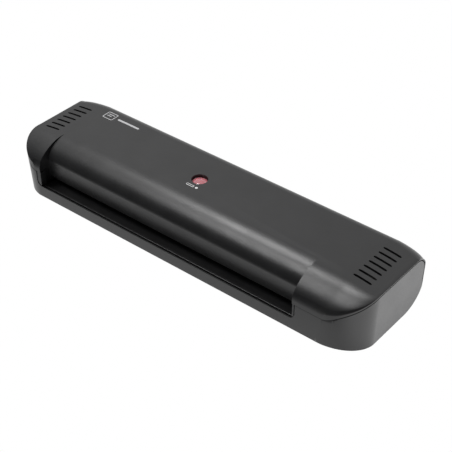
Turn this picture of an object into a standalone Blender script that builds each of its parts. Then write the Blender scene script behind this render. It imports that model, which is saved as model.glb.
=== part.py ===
"""Pouch laminator for A4 pouches: a closed two-part casing with an entry tray, heating plates, one
pair of silicone rollers with a spring-loaded upper roller, a gear motor and its train, and the
electrics.

Frame: +X to the right along the long side, +Y towards the exit at the back, +Z up.
The origin is at the middle of the footprint, on the plane the rubber feet stand on.
All dimensions below are millimetres; objects are built in metres."""

import math
from collections import namedtuple

import bmesh
import bpy
from mathutils import Matrix, Vector

MM = 0.001

# ---------------------------------------------------------------- casing
HALF_LENGTH = 162.5       # at the casing's underside
END_DRAFT = 1.15          # how far each end wall leans out at the top
Y_FRONT, Y_BACK = -43.9, 43.9
Z_BOTTOM = 1.6            # the feet lift the casing by this much
Z_TOP = 45.85
WALL = 2.2
FLOOR_Z = Z_BOTTOM + WALL
LEFT_CORNER = (24.6, 23.0)    # front corners seen from above, at the underside
RIGHT_CORNER = (34.0, 23.7)
CORNER_TIGHTEN = 8.0      # the corners' length along X shrinks by this much up to the lid
BACK_RUN = 22.6           # length at each end over which the back curves forward
BACK_A, BACK_B = 23.8, 6.7    # semi-axes of that curve
BACK_ARC = 1.1            # easing where the back meets an end wall
ROLL_Y = -18.5            # the flat top ends here and the front roll begins
ROLL_LEAN = math.radians(18.0)   # lean of the roll where it meets the crease
CREASE_Z = 31.2           # the front roll ends in a crease at this height
CREASE_ABOVE, CREASE_BELOW = 2.6, 3.4   # reach of the easing either side of the crease
CREASE_LEAN = math.radians(24.0)
ROLL_HANDLE_TOP, ROLL_HANDLE_LOW = 11.6, 5.8
BACK_TOP_R, END_TOP_R = 10.3, 13.4   # top back rounding in the middle and at the ends
UNDERCUT_Y, UNDERCUT_Z = 22.0, 18.5
PART_FRONT_Z = 24.7       # joint line of the cover on the front
PART_BACK_Z = 19.1        # joint line of the cover on the back
RIM = 1.0                 # height of the cover's edge along the end walls
JOINT_SAG = 1.8           # how far the joint line falls away from the roll towards the front
SEAM = 0.3                # gap along the joint line
LIP_INSET, LIP_T = 2.5, 1.8

# Facets of the curved outlines
CORNER_N, BACK_N, BACK_EASE_N = 9, 5, 2
ROLL_N, CREASE_N, ROUND_N = 14, 4, 7

FAR = 70.0                # beyond the casing, for bodies that trim it
TRIM_REACH = 190          # half length of bodies that are trimmed to the plan
PLAN_MARGIN = 3.0         # the plan's draft levels lie this far outside the casing's height

# ---------------------------------------------------------------- recess, hood and tray
RECESS_LEFT, RECESS_RIGHT = -137.9, 109.0
HOOD_TOP_Y = -12.9        # the hood leaves the flat top here
HOOD_FRONT_Y = -31.7
HOOD_TOP_Z = 33.2         # the hood's front is near upright below this height
HOOD_LOW_Y, HOOD_LOW_Z = -31.3, 13.9
CHEEK_LOW_Z = 12.5
LIP_Z = 11.3              # top of the base's front lip in the recess
LIP_T_FRONT = 1.0         # thickness of that lip
NOTCH_LEFT, NOTCH_RIGHT = -142.2, 111.5   # the base's front wall is low between these
NOTCH_R = 5.0
TRAY_Z = 9.4              # tray floor
TRAY_T = 1.6
TRAY_LEFT, TRAY_RIGHT = -141.7, 110.6
TRAY_FLAT_Y = -30.0       # the floor is flat in front of here and climbs behind it
TRAY_END_Y = -18.0
TRAY_UP_Z = 24.3

# ---------------------------------------------------------------- openings in the casing
VENT_N, VENT_PITCH, VENT_Y = 7, 6.16, 4.9
VENT_W = 1.9
VENT_SKEW = 1.9           # the outer end of a slot lies this much nearer the front
VENTS_LEFT, VENTS_RIGHT = (-158.2, -145.6), (137.0, 152.8)
WINDOW = (-15.0, 6.1)
WINDOW_R = 6.4
EXIT_X = (-138.5, 109.6)
EXIT_Z = (18.2, 22.6)
FIT = 0.2                 # clearance around the switch, the inlet and the feet
SWITCH_X, SWITCH_Z = 141.5, 28.0
SWITCH_HALF_X, SWITCH_HALF_Z = 6.4, 7.4
INLET_X, INLET_Z = 124.0, 29.0
INLET_HALF_X, INLET_HALF_Z = 8.9, 4.9

# ---------------------------------------------------------------- screws and feet, X and Y
SCREWS = {"front_left": (-149.0, -20.5), "front_right": (149.0, -20.5),
          "rear_left": (-150.5, 23.0), "rear_right": (128.5, 19.8)}
SCREW_SPLIT_Z = 15.0      # posts of the base and the cover meet here
POST_GAP = 0.15           # each post stops this far short of the split
FEET = {"front_left": (-141.0, -30.5), "front_right": (141.0, -30.5),
        "rear_left": (-141.0, 14.0), "rear_right": (141.0, 14.0)}
FOOT_R = 6.0

# ---------------------------------------------------------------- rollers and sheet path
ROLLER_Y = 14.0
SLEEVE_R, SHAFT_R = 5.5, 2.5
SHAFT_FIT = 0.06
NIP_GAP = 0.3
LOWER_Z = 10.65
UPPER_Z = LOWER_Z + 2 * SLEEVE_R + NIP_GAP
LOWER_AXIS, UPPER_AXIS = (ROLLER_Y, LOWER_Z), (ROLLER_Y, UPPER_Z)   # Y, Z
NIP_Z = LOWER_Z + SLEEVE_R + NIP_GAP / 2
PATH_SLOPE = 0.134        # the sheet climbs towards the back
SLEEVE_X = (-137.0, 108.2)
SLEEVE_N, SHAFT_N = 32, 24
LEFT_FRAME_X, RIGHT_FRAME_X = (-143.0, -141.0), (112.0, 114.0)
FRAME_GAP = 0.3
BETWEEN_X = (LEFT_FRAME_X[1] + FRAME_GAP, RIGHT_FRAME_X[0] - FRAME_GAP)
BLOCK_W, BLOCK_H = 9.4, 10.0
SLOT_TOP_Z = 37.0         # top of the frames' slots for the upper blocks
BUSH_R = 4.0

# ---------------------------------------------------------------- gears, all on one plane, and motor
GEAR_X = (116.0, 121.0)
MODULE = (UPPER_Z - LOWER_Z) / 15
N_ROLLER, N_IDLER, N_PINION = 15, 20, 12
PRESSURE_ANGLE = math.radians(20.0)
ADDENDUM, DEDENDUM = 0.80, 1.10   # in modules
BACKLASH = 0.10
FLANK_N = 3
IDLER_RISE = 1.75
PINION_ANGLE = math.radians(135.0)   # direction from the idler to the pinion, from +Y to +Z
PIN_R = 1.5
PINION_SHAFT_R = 2.0

ROLLER_TO_IDLER = MODULE * (N_ROLLER + N_IDLER) / 2
IDLER_TO_PINION = MODULE * (N_IDLER + N_PINION) / 2
IDLER_AXIS = (ROLLER_Y - math.sqrt(ROLLER_TO_IDLER ** 2 - IDLER_RISE ** 2), LOWER_Z + IDLER_RISE)
PINION_AXIS = (IDLER_AXIS[0] + IDLER_TO_PINION * math.cos(PINION_ANGLE),
               IDLER_AXIS[1] + IDLER_TO_PINION * math.sin(PINION_ANGLE))
MOTOR_R, MOTOR_X = 17.0, (124.6, 140.6)
MOTOR_OFFSET = (-6.5, 2.0)  # from the output shaft to the middle of the can

# ---------------------------------------------------------------- colours
PLASTIC = (0.032, 0.032, 0.034)
DARK = (0.018, 0.018, 0.019)
RUBBER = (0.02, 0.02, 0.02)
STEEL = (0.55, 0.56, 0.58)
ZINC = (0.42, 0.44, 0.46)
ALUMINIUM = (0.72, 0.73, 0.75)
SHIELD_METAL = (0.6, 0.61, 0.63)
MOTOR_METAL = (0.5, 0.51, 0.52)
BRONZE = (0.62, 0.45, 0.22)
SILICONE = (0.45, 0.09, 0.05)
CREAM = (0.75, 0.74, 0.70)
ELEMENT_TAN = (0.62, 0.55, 0.38)
THERMOSTAT_BROWN = (0.16, 0.11, 0.08)
FUSE_WHITE = (0.75, 0.73, 0.68)
BOARD_GREEN = (0.05, 0.16, 0.07)
TERMINAL_GREEN = (0.1, 0.28, 0.12)
CAPACITOR_BLUE = (0.05, 0.07, 0.16)
RELAY_BLACK = (0.03, 0.03, 0.035)
LENS_RED = (0.72, 0.22, 0.24)
LED_RED = (0.8, 0.1, 0.08)

for old in list(bpy.data.objects):
    bpy.data.objects.remove(old, do_unlink=True)

PARTS = bpy.data.collections.new("pouch_laminator")
CUTTERS = bpy.data.collections.new("cutters")
CUTTERS.hide_render = True
bpy.context.scene.collection.children.link(PARTS)
bpy.context.scene.collection.children.link(CUTTERS)


# ---------------------------------------------------------------- objects and materials
def new_mesh_object(name, bm):
    """A hidden helper object; finish() turns it into a part."""
    mesh = bpy.data.meshes.new(name)
    bmesh.ops.recalc_face_normals(bm, faces=bm.faces)
    bm.to_mesh(mesh)
    bm.free()
    obj = bpy.data.objects.new(name, mesh)
    CUTTERS.objects.link(obj)
    obj.display_type = "WIRE"
    obj.hide_render = True
    return obj


def material(name, rgb, rough, metal, alpha):
    mat = bpy.data.materials.new(name)
    mat.use_nodes = True
    inputs = mat.node_tree.nodes["Principled BSDF"].inputs
    inputs["Base Color"].default_value = (*rgb, 1.0)
    inputs["Roughness"].default_value = rough
    inputs["Metallic"].default_value = metal
    inputs["Alpha"].default_value = alpha
    mat.diffuse_color = (*rgb, alpha)
    return mat


def finish(obj, name, rgb, *, rough, metal=0.0, alpha=1.0):
    """Turns a built shape into a named part with its own material."""
    CUTTERS.objects.unlink(obj)
    PARTS.objects.link(obj)
    obj.name = name
    obj.data.name = name
    obj.display_type = "TEXTURED"
    obj.hide_render = False
    obj.data.materials.append(material(name + "_material", rgb, rough, metal, alpha))
    obj.data.shade_smooth()
    obj.data.set_sharp_from_angle(angle=math.radians(35.0))


def origin_to(obj, point):
    """Puts the object's origin on its turning axis or slide, leaving the shape where it is."""
    point = Vector(point) * MM
    obj.data.transform(Matrix.Translation(-point))
    obj.location = point
    return obj


def boolean(target, tools, operation):
    for tool in tools:
        mod = target.modifiers.new(operation.lower() + "_" + tool.name, "BOOLEAN")
        mod.operation = operation
        mod.solver = "EXACT"
        mod.object = tool
    return target


def cut(target, *tools):
    return boolean(target, tools, "DIFFERENCE")


def join(target, *tools):
    return boolean(target, tools, "UNION")


def keep(target, *tools):
    return boolean(target, tools, "INTERSECT")


def evaluated_bmesh(obj, weld):
    """The shape an object shows, with points closer than weld merged."""
    bpy.context.view_layer.update()
    graph = bpy.context.evaluated_depsgraph_get()
    mesh = bpy.data.meshes.new_from_object(obj.evaluated_get(graph))
    bm = bmesh.new()
    bm.from_mesh(mesh)
    bmesh.ops.remove_doubles(bm, verts=bm.verts, dist=weld)
    return bm, mesh


def replace(obj, bm, mesh, name):
    """A new helper made from bm; the object and mesh it came from go."""
    out = new_mesh_object(name, bm)
    bpy.data.meshes.remove(mesh)
    bpy.data.objects.remove(obj, do_unlink=True)
    return out


def baked(obj, name):
    """The same shape with its modifiers applied, so that it can be used more than once."""
    bm, mesh = evaluated_bmesh(obj, weld=2e-7)
    bmesh.ops.dissolve_degenerate(bm, edges=bm.edges, dist=2e-7)
    return replace(obj, bm, mesh, name)


def curve_to_mesh(curve_object, name):
    """The solid a curve object shows, as a welded mesh object."""
    bm, mesh = evaluated_bmesh(curve_object, weld=1e-7)
    bmesh.ops.transform(bm, verts=bm.verts, matrix=curve_object.matrix_world)
    return replace(curve_object, bm, mesh, name)


# ---------------------------------------------------------------- basic solids
AXES = {
    "X": Matrix(((0, 0, 1), (1, 0, 0), (0, 1, 0))).to_4x4(),   # local x, y, z -> Y, Z, X
    "Y": Matrix(((0, 1, 0), (0, 0, 1), (1, 0, 0))).to_4x4(),   # local x, y, z -> Z, X, Y
    "Z": Matrix.Identity(4),
}


def box(low, high, name="box"):
    bm = bmesh.new()
    bmesh.ops.create_cube(bm, size=1.0)
    low, high = Vector(low) * MM, Vector(high) * MM
    for v in bm.verts:
        v.co = Vector([(low[i] + high[i]) / 2 + v.co[i] * (high[i] - low[i]) for i in range(3)])
    return new_mesh_object(name, bm)


def box_about(x, z, half_x, half_z, y_span, name="box"):
    """A box centred on x and z, for the openings and fittings at the back."""
    return box((x - half_x, y_span[0], z - half_z), (x + half_x, y_span[1], z + half_z), name)


def cylinder(axis, centre, low, high, radius, segments=24, end_radius=None, name="cylinder"):
    """centre is the pair of coordinates across the axis, in the order YZ, ZX or XY."""
    bm = bmesh.new()
    end_radius = radius if end_radius is None else end_radius
    bmesh.ops.create_cone(bm, cap_ends=True, segments=segments, radius1=radius * MM,
                          radius2=end_radius * MM, depth=(high - low) * MM)
    middle = (centre[0] * MM, centre[1] * MM, (low + high) / 2 * MM)
    bmesh.ops.translate(bm, verts=bm.verts, vec=middle)
    bmesh.ops.transform(bm, verts=bm.verts, matrix=AXES[axis])
    return new_mesh_object(name, bm)


def add_poly_spline(curve, points):
    """Adds a spline through points given in millimetres."""
    spline = curve.splines.new("POLY")
    spline.points.add(len(points) - 1)
    for spline_point, point in zip(spline.points, points):
        spline_point.co = (*(value * MM for value in point), 1.0)
    return spline


def prism(axis, rings, low, high, name="prism"):
    """A flat outline (and any holes in it) given thickness along an axis.
    Outline points are YZ, ZX or XY pairs."""
    curve = bpy.data.curves.new(name, "CURVE")
    curve.dimensions = "2D"
    curve.fill_mode = "BOTH"
    curve.extrude = (high - low) / 2 * MM
    for ring in rings:
        add_poly_spline(curve, [(a, b, 0.0) for a, b in ring]).use_cyclic_u = True
    flat = bpy.data.objects.new(name, curve)
    bpy.context.scene.collection.objects.link(flat)
    flat.matrix_world = AXES[axis] @ Matrix.Translation((0, 0, (low + high) / 2 * MM))
    return curve_to_mesh(flat, name)


def tube(points, radius, name):
    """A round section swept through the given points."""
    curve = bpy.data.curves.new(name, "CURVE")
    curve.dimensions = "3D"
    curve.bevel_depth = radius * MM
    curve.bevel_resolution = 2
    curve.use_fill_caps = True
    add_poly_spline(curve, points)
    swept = bpy.data.objects.new(name, curve)
    bpy.context.scene.collection.objects.link(swept)
    return curve_to_mesh(swept, name)


def wire(points, radius):
    """A lead of round section through the given points, its bends eased."""
    eased = [points[0]]
    for before, bend, after in zip(points, points[1:], points[2:]):
        before, bend, after = Vector(before), Vector(bend), Vector(after)
        start_cut = min(3.0, (before - bend).length * 0.4)
        end_cut = min(3.0, (after - bend).length * 0.4)
        start = bend + (before - bend).normalized() * start_cut
        end = bend + (after - bend).normalized() * end_cut
        eased += quadratic(start, bend, end, 2)
    eased.append(points[-1])
    return tube(eased, radius, "wire")


def rings_to_solid(rings, name):
    """A closed body through rings of equal point count, its warped side faces triangulated."""
    bm = bmesh.new()
    rows = [[bm.verts.new(Vector(p) * MM) for p in ring] for ring in rings]
    count = len(rows[0])
    side = []
    for row, following in zip(rows[:-1], rows[1:]):
        for i in range(count):
            j = (i + 1) % count
            side.append(bm.faces.new((row[i], row[j], following[j], following[i])))
    bm.faces.new(rows[0])
    bm.faces.new(rows[-1])
    bmesh.ops.recalc_face_normals(bm, faces=bm.faces)
    warped = []
    for face in side:
        middle = face.calc_center_median()
        if max(abs((v.co - middle).dot(face.normal)) for v in face.verts) > 1e-8:
            warped.append(face)
    bmesh.ops.triangulate(bm, faces=warped)
    return new_mesh_object(name, bm)


# ---------------------------------------------------------------- flat curves
def ellipse(centre_a, centre_b, radius_a, radius_b, start, end, count):
    """Arc of an ellipse from start to end in degrees."""
    angles = [math.radians(start + (end - start) * i / count) for i in range(count + 1)]
    return [(centre_a + radius_a * math.cos(angle), centre_b + radius_b * math.sin(angle))
            for angle in angles]


def circle(centre, radius, count):
    angles = [2 * math.pi * k / count for k in range(count)]
    return [(centre[0] + radius * math.cos(angle), centre[1] + radius * math.sin(angle))
            for angle in angles]


def quadratic(p0, p1, p2, count):
    return [tuple((1 - t) ** 2 * a + 2 * t * (1 - t) * b + t * t * c for a, b, c in zip(p0, p1, p2))
            for t in (i / count for i in range(count + 1))]


def bezier(p0, p1, p2, p3, count):
    return [tuple((1 - t) ** 3 * a + 3 * t * (1 - t) ** 2 * b + 3 * t * t * (1 - t) * c + t ** 3 * d
                  for a, b, c, d in zip(p0, p1, p2, p3))
            for t in (i / count for i in range(count + 1))]


def offset_path(path, distance):
    out = []
    for i, point in enumerate(path):
        before = Vector(path[max(i - 1, 0)])
        after = Vector(path[min(i + 1, len(path) - 1)])
        along = (after - before).normalized()
        out.append((point[0] + along.y * distance, point[1] - along.x * distance))
    return out


def u_outline(left, right, bottom, radius, top):
    """A U with rounded lower corners, open upwards, as ZX pairs."""
    z = bottom + radius
    return ([(top, left), (z, left)]
            + ellipse(z, left + radius, radius, radius, 270, 180, 5)[1:]
            + ellipse(z, right - radius, radius, radius, 180, 90, 5) + [(top, right)])


# ---------------------------------------------------------------- casing seen from above
def plan_half(inset, corner, z):
    """Right half of the outline from the front middle to the back middle; x positive."""
    share = (z - Z_BOTTOM) / (Z_TOP - Z_BOTTOM)
    length = max(corner[0] - CORNER_TIGHTEN * share - inset, 1.0)
    depth = max(corner[1] - inset, 1.0)
    end, front, back = HALF_LENGTH - inset, Y_FRONT + inset, Y_BACK - inset
    run = BACK_RUN - inset
    reach = run / BACK_A
    corner_y = back - BACK_B * (1 - math.sqrt(1 - reach * reach))
    back_start = math.degrees(math.acos(reach - BACK_ARC / BACK_A))
    back_curve = ellipse(end - run, back - BACK_B, BACK_A, BACK_B, back_start, 90, BACK_N)
    easing = quadratic((end, corner_y - BACK_ARC), (end, corner_y), back_curve[0], BACK_EASE_N)
    points = ellipse(end - length, front + depth, length, depth, -90, 0, CORNER_N)
    points += easing[:-1] + back_curve
    lean = 1 + END_DRAFT / HALF_LENGTH * share
    return [(x * lean, y) for x, y in points]


def plan_outline(inset, z):
    left = plan_half(inset, LEFT_CORNER, z)
    return plan_half(inset, RIGHT_CORNER, z) + [(-x, y) for x, y in reversed(left)]


def plan_prism(inset, low, high, name):
    bottom, top = plan_outline(inset, Z_BOTTOM), plan_outline(inset, Z_TOP)
    first = Z_BOTTOM - PLAN_MARGIN
    last = first + (Z_TOP - Z_BOTTOM + 2 * PLAN_MARGIN)
    rings = []
    for z in (low, first, last, high):
        t = (z - Z_BOTTOM) / (Z_TOP - Z_BOTTOM)
        rings.append([(a[0] + (b[0] - a[0]) * t, a[1] + (b[1] - a[1]) * t, z)
                      for a, b in zip(bottom, top)])
    return rings_to_solid(rings, name)


# ---------------------------------------------------------------- casing seen from the side
# What changes in the side outline along X: Y of the back, and its top rounding.
Section = namedtuple("Section", "back top_radius")


def section_at(x):
    past = abs(x) - (HALF_LENGTH - BACK_RUN)
    reach = min(max(past / BACK_A, 0.0), BACK_RUN / BACK_A)
    share = min(max(past / BACK_RUN, 0.0), 1.0)
    return Section(back=Y_BACK - BACK_B * (1 - math.sqrt(1 - reach * reach)),
                   top_radius=BACK_TOP_R + (END_TOP_R - BACK_TOP_R) * share)


def roll_curve():
    return bezier((ROLL_Y, Z_TOP), (ROLL_Y - ROLL_HANDLE_TOP, Z_TOP),
                  (Y_FRONT + math.sin(ROLL_LEAN) * ROLL_HANDLE_LOW,
                   CREASE_Z + math.cos(ROLL_LEAN) * ROLL_HANDLE_LOW),
                  (Y_FRONT, CREASE_Z), ROLL_N)


def front_roll():
    """The rolled front, eased into the upright below its crease."""
    roll = roll_curve()
    while roll[-1][1] < CREASE_Z + CREASE_ABOVE:
        roll.pop()
    start = roll.pop()
    bend = (Y_FRONT, start[1] - (start[0] - Y_FRONT) / math.tan(CREASE_LEAN))
    return roll + quadratic(start, bend, (Y_FRONT, CREASE_Z - CREASE_BELOW), CREASE_N)


def back_round(section, offset=0.0):
    radius = section.top_radius - offset
    return ellipse(section.back - offset - radius, Z_TOP - offset - radius, radius, radius,
                   90, 0, ROUND_N)


def undercut(section, offset=0.0):
    return ellipse(section.back - UNDERCUT_Y, Z_BOTTOM + UNDERCUT_Z,
                   UNDERCUT_Y - offset, UNDERCUT_Z - offset, 0, -90, ROUND_N)


def side_outline(section):
    eased_edge = [(Y_FRONT + 0.35, Z_BOTTOM), (Y_FRONT + 0.1, Z_BOTTOM + 0.1),
                  (Y_FRONT, Z_BOTTOM + 0.35)]
    return list(reversed(front_roll())) + back_round(section) + undercut(section) + eased_edge


def joint_line(section, drop):
    """The joint between cover and base, from front to back, lowered by drop."""
    points = [(-FAR, PART_FRONT_Z - drop), (Y_FRONT - 0.01, PART_FRONT_Z - drop)]
    front_fall = CREASE_Z - PART_FRONT_Z - RIM - JOINT_SAG
    for y, z in reversed(roll_curve()[:-1]):
        share = (ROLL_Y - y) / (ROLL_Y - Y_FRONT)
        points.append((y, z - RIM - JOINT_SAG * share ** 1.5 - front_fall * share ** 12 - drop))
    points += back_round(section, RIM + drop)
    points += [(section.back - RIM - drop, PART_BACK_Z - drop), (FAR, PART_BACK_Z - drop)]
    return points


def hood_line():
    arc = bezier((HOOD_TOP_Y, Z_TOP), (HOOD_TOP_Y - 13.0, Z_TOP),
                 (HOOD_FRONT_Y + 0.1, HOOD_TOP_Z + 7.5), (HOOD_FRONT_Y, HOOD_TOP_Z - 4.5), ROLL_N)
    return arc + [(HOOD_LOW_Y, HOOD_LOW_Z)]


def loft_x(outline, name, reach=200.0):
    """A side outline carried along X; its back follows the plan outline near the ends."""
    run = [HALF_LENGTH - BACK_RUN + BACK_RUN * math.sin(math.pi / 2 * i / BACK_N)
           for i in range(BACK_N + 1)]
    stations = [-reach] + [-x for x in reversed(run)] + run + [reach]
    rings = [[(x, y, z) for y, z in outline(section_at(x))] for x in stations]
    return rings_to_solid(rings, name)


def full_body(name):
    solid = loft_x(side_outline, name)
    return baked(keep(solid, plan_prism(0.0, -10, 60, name + "_plan")), name)


# ---------------------------------------------------------------- top cover
def cover_lip():
    """The layer inside the cover, running down behind the base's walls."""
    lip_z = 0.3           # start of the layer above the joint line
    roll = offset_path(front_roll(), -0.6)
    inner_roll = offset_path(front_roll(), -WALL)

    def layer_outline(section):
        return ([(Y_FRONT + 0.6, PART_FRONT_Z + lip_z)] + list(reversed(roll))
                + back_round(section, 0.5)
                + [(section.back - 0.5, PART_BACK_Z + lip_z), (0.0, PART_BACK_Z + lip_z),
                   (-1.0, PART_FRONT_Z + lip_z)])

    def hollow_outline(section):
        return ([(Y_FRONT + WALL, 5.0)]
                + [(max(y, Y_FRONT + WALL), z) for y, z in reversed(inner_roll)]
                + back_round(section, WALL) + [(section.back - WALL, 5.0)])

    layer = loft_x(layer_outline, "layer", TRIM_REACH)
    layer = baked(keep(layer, plan_prism(LIP_INSET, -10, 60, "layer_plan")), "layer")
    hollow = loft_x(hollow_outline, "hollow", TRIM_REACH)
    hollow_plan = plan_prism(LIP_INSET + LIP_T, -10, 60, "hollow_plan")
    hollow = baked(keep(hollow, hollow_plan), "hollow")
    layer = baked(cut(layer, hollow), "layer")
    corners = [box((x0, 30.0, 0.0), (x1, 60.0, 38.4))
               for x0, x1 in ((149.9, TRIM_REACH), (-TRIM_REACH, -149.9))]
    return baked(cut(layer, *corners), "layer")


def cover_shell():
    above = loft_x(lambda section: joint_line(section, 0.0) + [(FAR, FAR), (-FAR, FAR)],
                   "above_joint")
    cap = baked(keep(full_body("cap"), above), "cap")
    layer = cover_lip()
    back_fill = box((-149.4, Y_BACK - 3.6, PART_BACK_Z + 0.3), (149.4, Y_BACK - 1.3, 36.0),
                    "back_fill")
    return baked(join(cap, layer, back_fill), "cover")


def with_hood(cover):
    """Adds the cheeks beside the recess and the hood over the entry, and clears the recess."""
    roll = offset_path(front_roll(), -0.5)
    cheek_back, cheek_foot = -26.8, PART_FRONT_Z + 0.1
    cheek = ([(cheek_back, CHEEK_LOW_Z), (cheek_back, 36.0), (-24.5, 40.0), (-24.5, 43.4)]
             + [(y, z) for y, z in roll if y < -25.5]
             + [(Y_FRONT + 0.5, cheek_foot), (HOOD_FRONT_Y - 1.8, cheek_foot),
                (HOOD_FRONT_Y - 1.8, CHEEK_LOW_Z)])
    left = prism("X", [cheek], RECESS_LEFT - WALL, RECESS_LEFT + 0.9, "cheek_left")
    right = prism("X", [cheek], RECESS_RIGHT - 0.9, RECESS_RIGHT + WALL, "cheek_right")
    outer = hood_line()
    inner = offset_path(outer, -WALL)
    front_y, low_z, root_y = HOOD_FRONT_Y - 1.4, HOOD_LOW_Z + 0.02, HOOD_TOP_Y + 4.0
    crown = [(y, z) for y, z in roll if front_y < y < HOOD_TOP_Y]
    strip = ([(root_y, Z_TOP - 0.6)] + crown
             + [(front_y, crown[-1][1] - 0.6), (front_y, low_z), (inner[-1][0], low_z)]
             + list(reversed(inner[1:-1])) + [(root_y, Z_TOP - 1.9)])
    hood = prism("X", [strip], RECESS_LEFT - 1.3, RECESS_RIGHT + 1.3, "hood")
    room = [(-FAR, -10.0), (-FAR, FAR), (HOOD_TOP_Y, FAR)] + outer + [(HOOD_LOW_Y, -10.0)]
    room = prism("X", [room], RECESS_LEFT, RECESS_RIGHT, "recess")
    cover = baked(join(cover, left, right, hood), "cover")
    return baked(cut(cover, room), "cover")


def with_posts(cover):
    """Adds the screw posts and the posts of the indicator board."""
    top = Z_TOP - 1.2     # inside the lid's thickness
    for centre in SCREWS.values():
        post = cylinder("Z", centre, SCREW_SPLIT_Z + POST_GAP, top, 3.6, 16)
        hole = cylinder("Z", centre, SCREW_SPLIT_Z - 2, 26.0, 1.25, 16)
        cover = baked(cut(join(cover, post), hole), "cover")
    for side in (-9.5, 9.5):
        centre = (WINDOW[0] + side, WINDOW[1])
        post = cylinder("Z", centre, 35.2, top, 1.8, 12)
        hole = cylinder("Z", centre, 30.0, 41.0, 0.8, 12)
        cover = baked(cut(join(cover, post), hole), "cover")
    return cover


def vent_slots():
    slots = []
    half = VENT_W / 2
    for x0, x1 in (VENTS_LEFT, VENTS_RIGHT):
        skew = math.copysign(VENT_SKEW / 2, x0)
        for k in range(VENT_N):
            y = VENT_Y + (k - (VENT_N - 1) / 2) * VENT_PITCH
            y0, y1 = y + skew, y - skew
            ring = [(x0, y0 - half), (x1, y1 - half), (x1, y1 + half), (x0, y0 + half)]
            slots.append(prism("Z", [ring], Z_TOP - 8, Z_TOP + 5, "vent_%d" % len(slots)))
    return slots


def with_openings(cover):
    through_y = (Y_BACK - 6, Y_BACK + 6)
    tools = vent_slots()
    tools.append(cylinder("Z", WINDOW, Z_TOP - 6, Z_TOP + 4, WINDOW_R, 32, name="window_hole"))
    tools.append(box((EXIT_X[0], through_y[0], 10), (EXIT_X[1], through_y[1], EXIT_Z[1]),
                     "exit_cut"))
    tools.append(box_about(SWITCH_X, SWITCH_Z, SWITCH_HALF_X + FIT, SWITCH_HALF_Z + FIT,
                           through_y, "switch_cut"))
    tools.append(box_about(INLET_X, INLET_Z, INLET_HALF_X + FIT, INLET_HALF_Z + FIT,
                           through_y, "inlet_cut"))
    return baked(cut(cover, *tools), "cover")


def build_cover():
    cover = with_openings(with_posts(with_hood(cover_shell())))
    finish(cover, "top_cover", PLASTIC, rough=0.42)


# ---------------------------------------------------------------- base casing
def tub_outline(section):
    return ([(Y_FRONT + WALL, FAR), (Y_FRONT + WALL, FLOOR_Z)]
            + list(reversed(undercut(section, WALL))) + [(section.back - WALL, FAR)])


def base_shell():
    below = loft_x(lambda section: joint_line(section, SEAM) + [(FAR, -10.0), (-FAR, -10.0)],
                   "below_joint")
    base = baked(keep(full_body("tub"), below), "tub")
    inside = loft_x(tub_outline, "tub_inside", TRIM_REACH)
    inside = baked(keep(inside, plan_prism(WALL, -10, 80, "tub_inside_plan")), "tub_inside")
    return baked(cut(base, inside), "tub")


def with_low_walls(base):
    """Lowers the front wall in the recess, thins it to a lip, and lowers the back wall."""
    notch = u_outline(NOTCH_LEFT, NOTCH_RIGHT, LIP_Z, NOTCH_R, LIP_Z + 40)
    rebate = [(z - 3.9, x) for z, x in notch]
    inner_y = Y_FRONT + 12.0
    tools = [
        prism("Y", [notch], Y_FRONT - 5, inner_y, "front_notch"),
        box((EXIT_X[0], Y_BACK - 12, EXIT_Z[0]), (EXIT_X[1], Y_BACK + 6, 40), "back_notch"),
        prism("Y", [rebate], Y_FRONT + LIP_T_FRONT, inner_y, "lip_rebate"),
        box((-150.2, Y_BACK - 8, PART_BACK_Z - SEAM), (150.2, Y_BACK + 6, 60), "back_low"),
    ]
    return baked(cut(base, *tools), "tub")


def build_base():
    base = with_low_walls(base_shell())
    posts, holes = [], []
    for centre in SCREWS.values():
        posts.append(cylinder("Z", centre, FLOOR_Z - 1.0, SCREW_SPLIT_Z - POST_GAP, 4.2, 16))
        holes.append(cylinder("Z", centre, 0.0, 20.0, 1.75, 16))
        holes.append(cylinder("Z", centre, 0.0, 9.0, 3.2, 16))
    for centre in FEET.values():
        holes.append(cylinder("Z", centre, 0.0, Z_BOTTOM + 0.7, FOOT_R + FIT))
    base = baked(join(base, *posts), "tub")
    finish(baked(cut(base, *holes), "tub"), "base_casing", PLASTIC, rough=0.45)


# ---------------------------------------------------------------- entry tray
TICKS_X = (-75.2, -51.8, 18.6, 63.4, 86.9)   # short grooves in the tray floor
TRAY_RIM_Y = Y_FRONT + LIP_T_FRONT + 0.75


def path_z(y):
    """Height of the sheet path."""
    return NIP_Z + PATH_SLOPE * (y - ROLLER_Y)


def tray_blank():
    """A flat floor, a ramp that climbs under the hood, and a side upstand at each end."""
    rim_y = TRAY_RIM_Y
    end_z = path_z(TRAY_END_Y) - 0.6
    floor = [(rim_y, TRAY_Z - TRAY_T), (TRAY_FLAT_Y, TRAY_Z - TRAY_T),
             (TRAY_END_Y, end_z - TRAY_T), (TRAY_END_Y, end_z), (TRAY_FLAT_Y, TRAY_Z),
             (rim_y + 0.9, TRAY_Z), (rim_y + 0.9, LIP_Z - 0.4), (rim_y, LIP_Z - 0.4)]
    tray = prism("X", [floor], TRAY_LEFT - 2.0, TRAY_RIGHT + 2.0, "tray_floor")
    front_y, back_y = -50.0, -34.4
    upstand = [(front_y, LIP_Z + 0.6), (rim_y, LIP_Z + 0.6), (rim_y, TRAY_Z - 1.3),
               (back_y, TRAY_Z - 1.3), (back_y, TRAY_UP_Z), (front_y, TRAY_UP_Z)]
    sides = [prism("X", [upstand], x0, x1, "tray_side")
             for x0, x1 in ((TRAY_LEFT - 3.0, RECESS_LEFT), (RECESS_RIGHT + 0.2, TRAY_RIGHT + 3.0))]
    return baked(join(tray, *sides), "tray")


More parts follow.
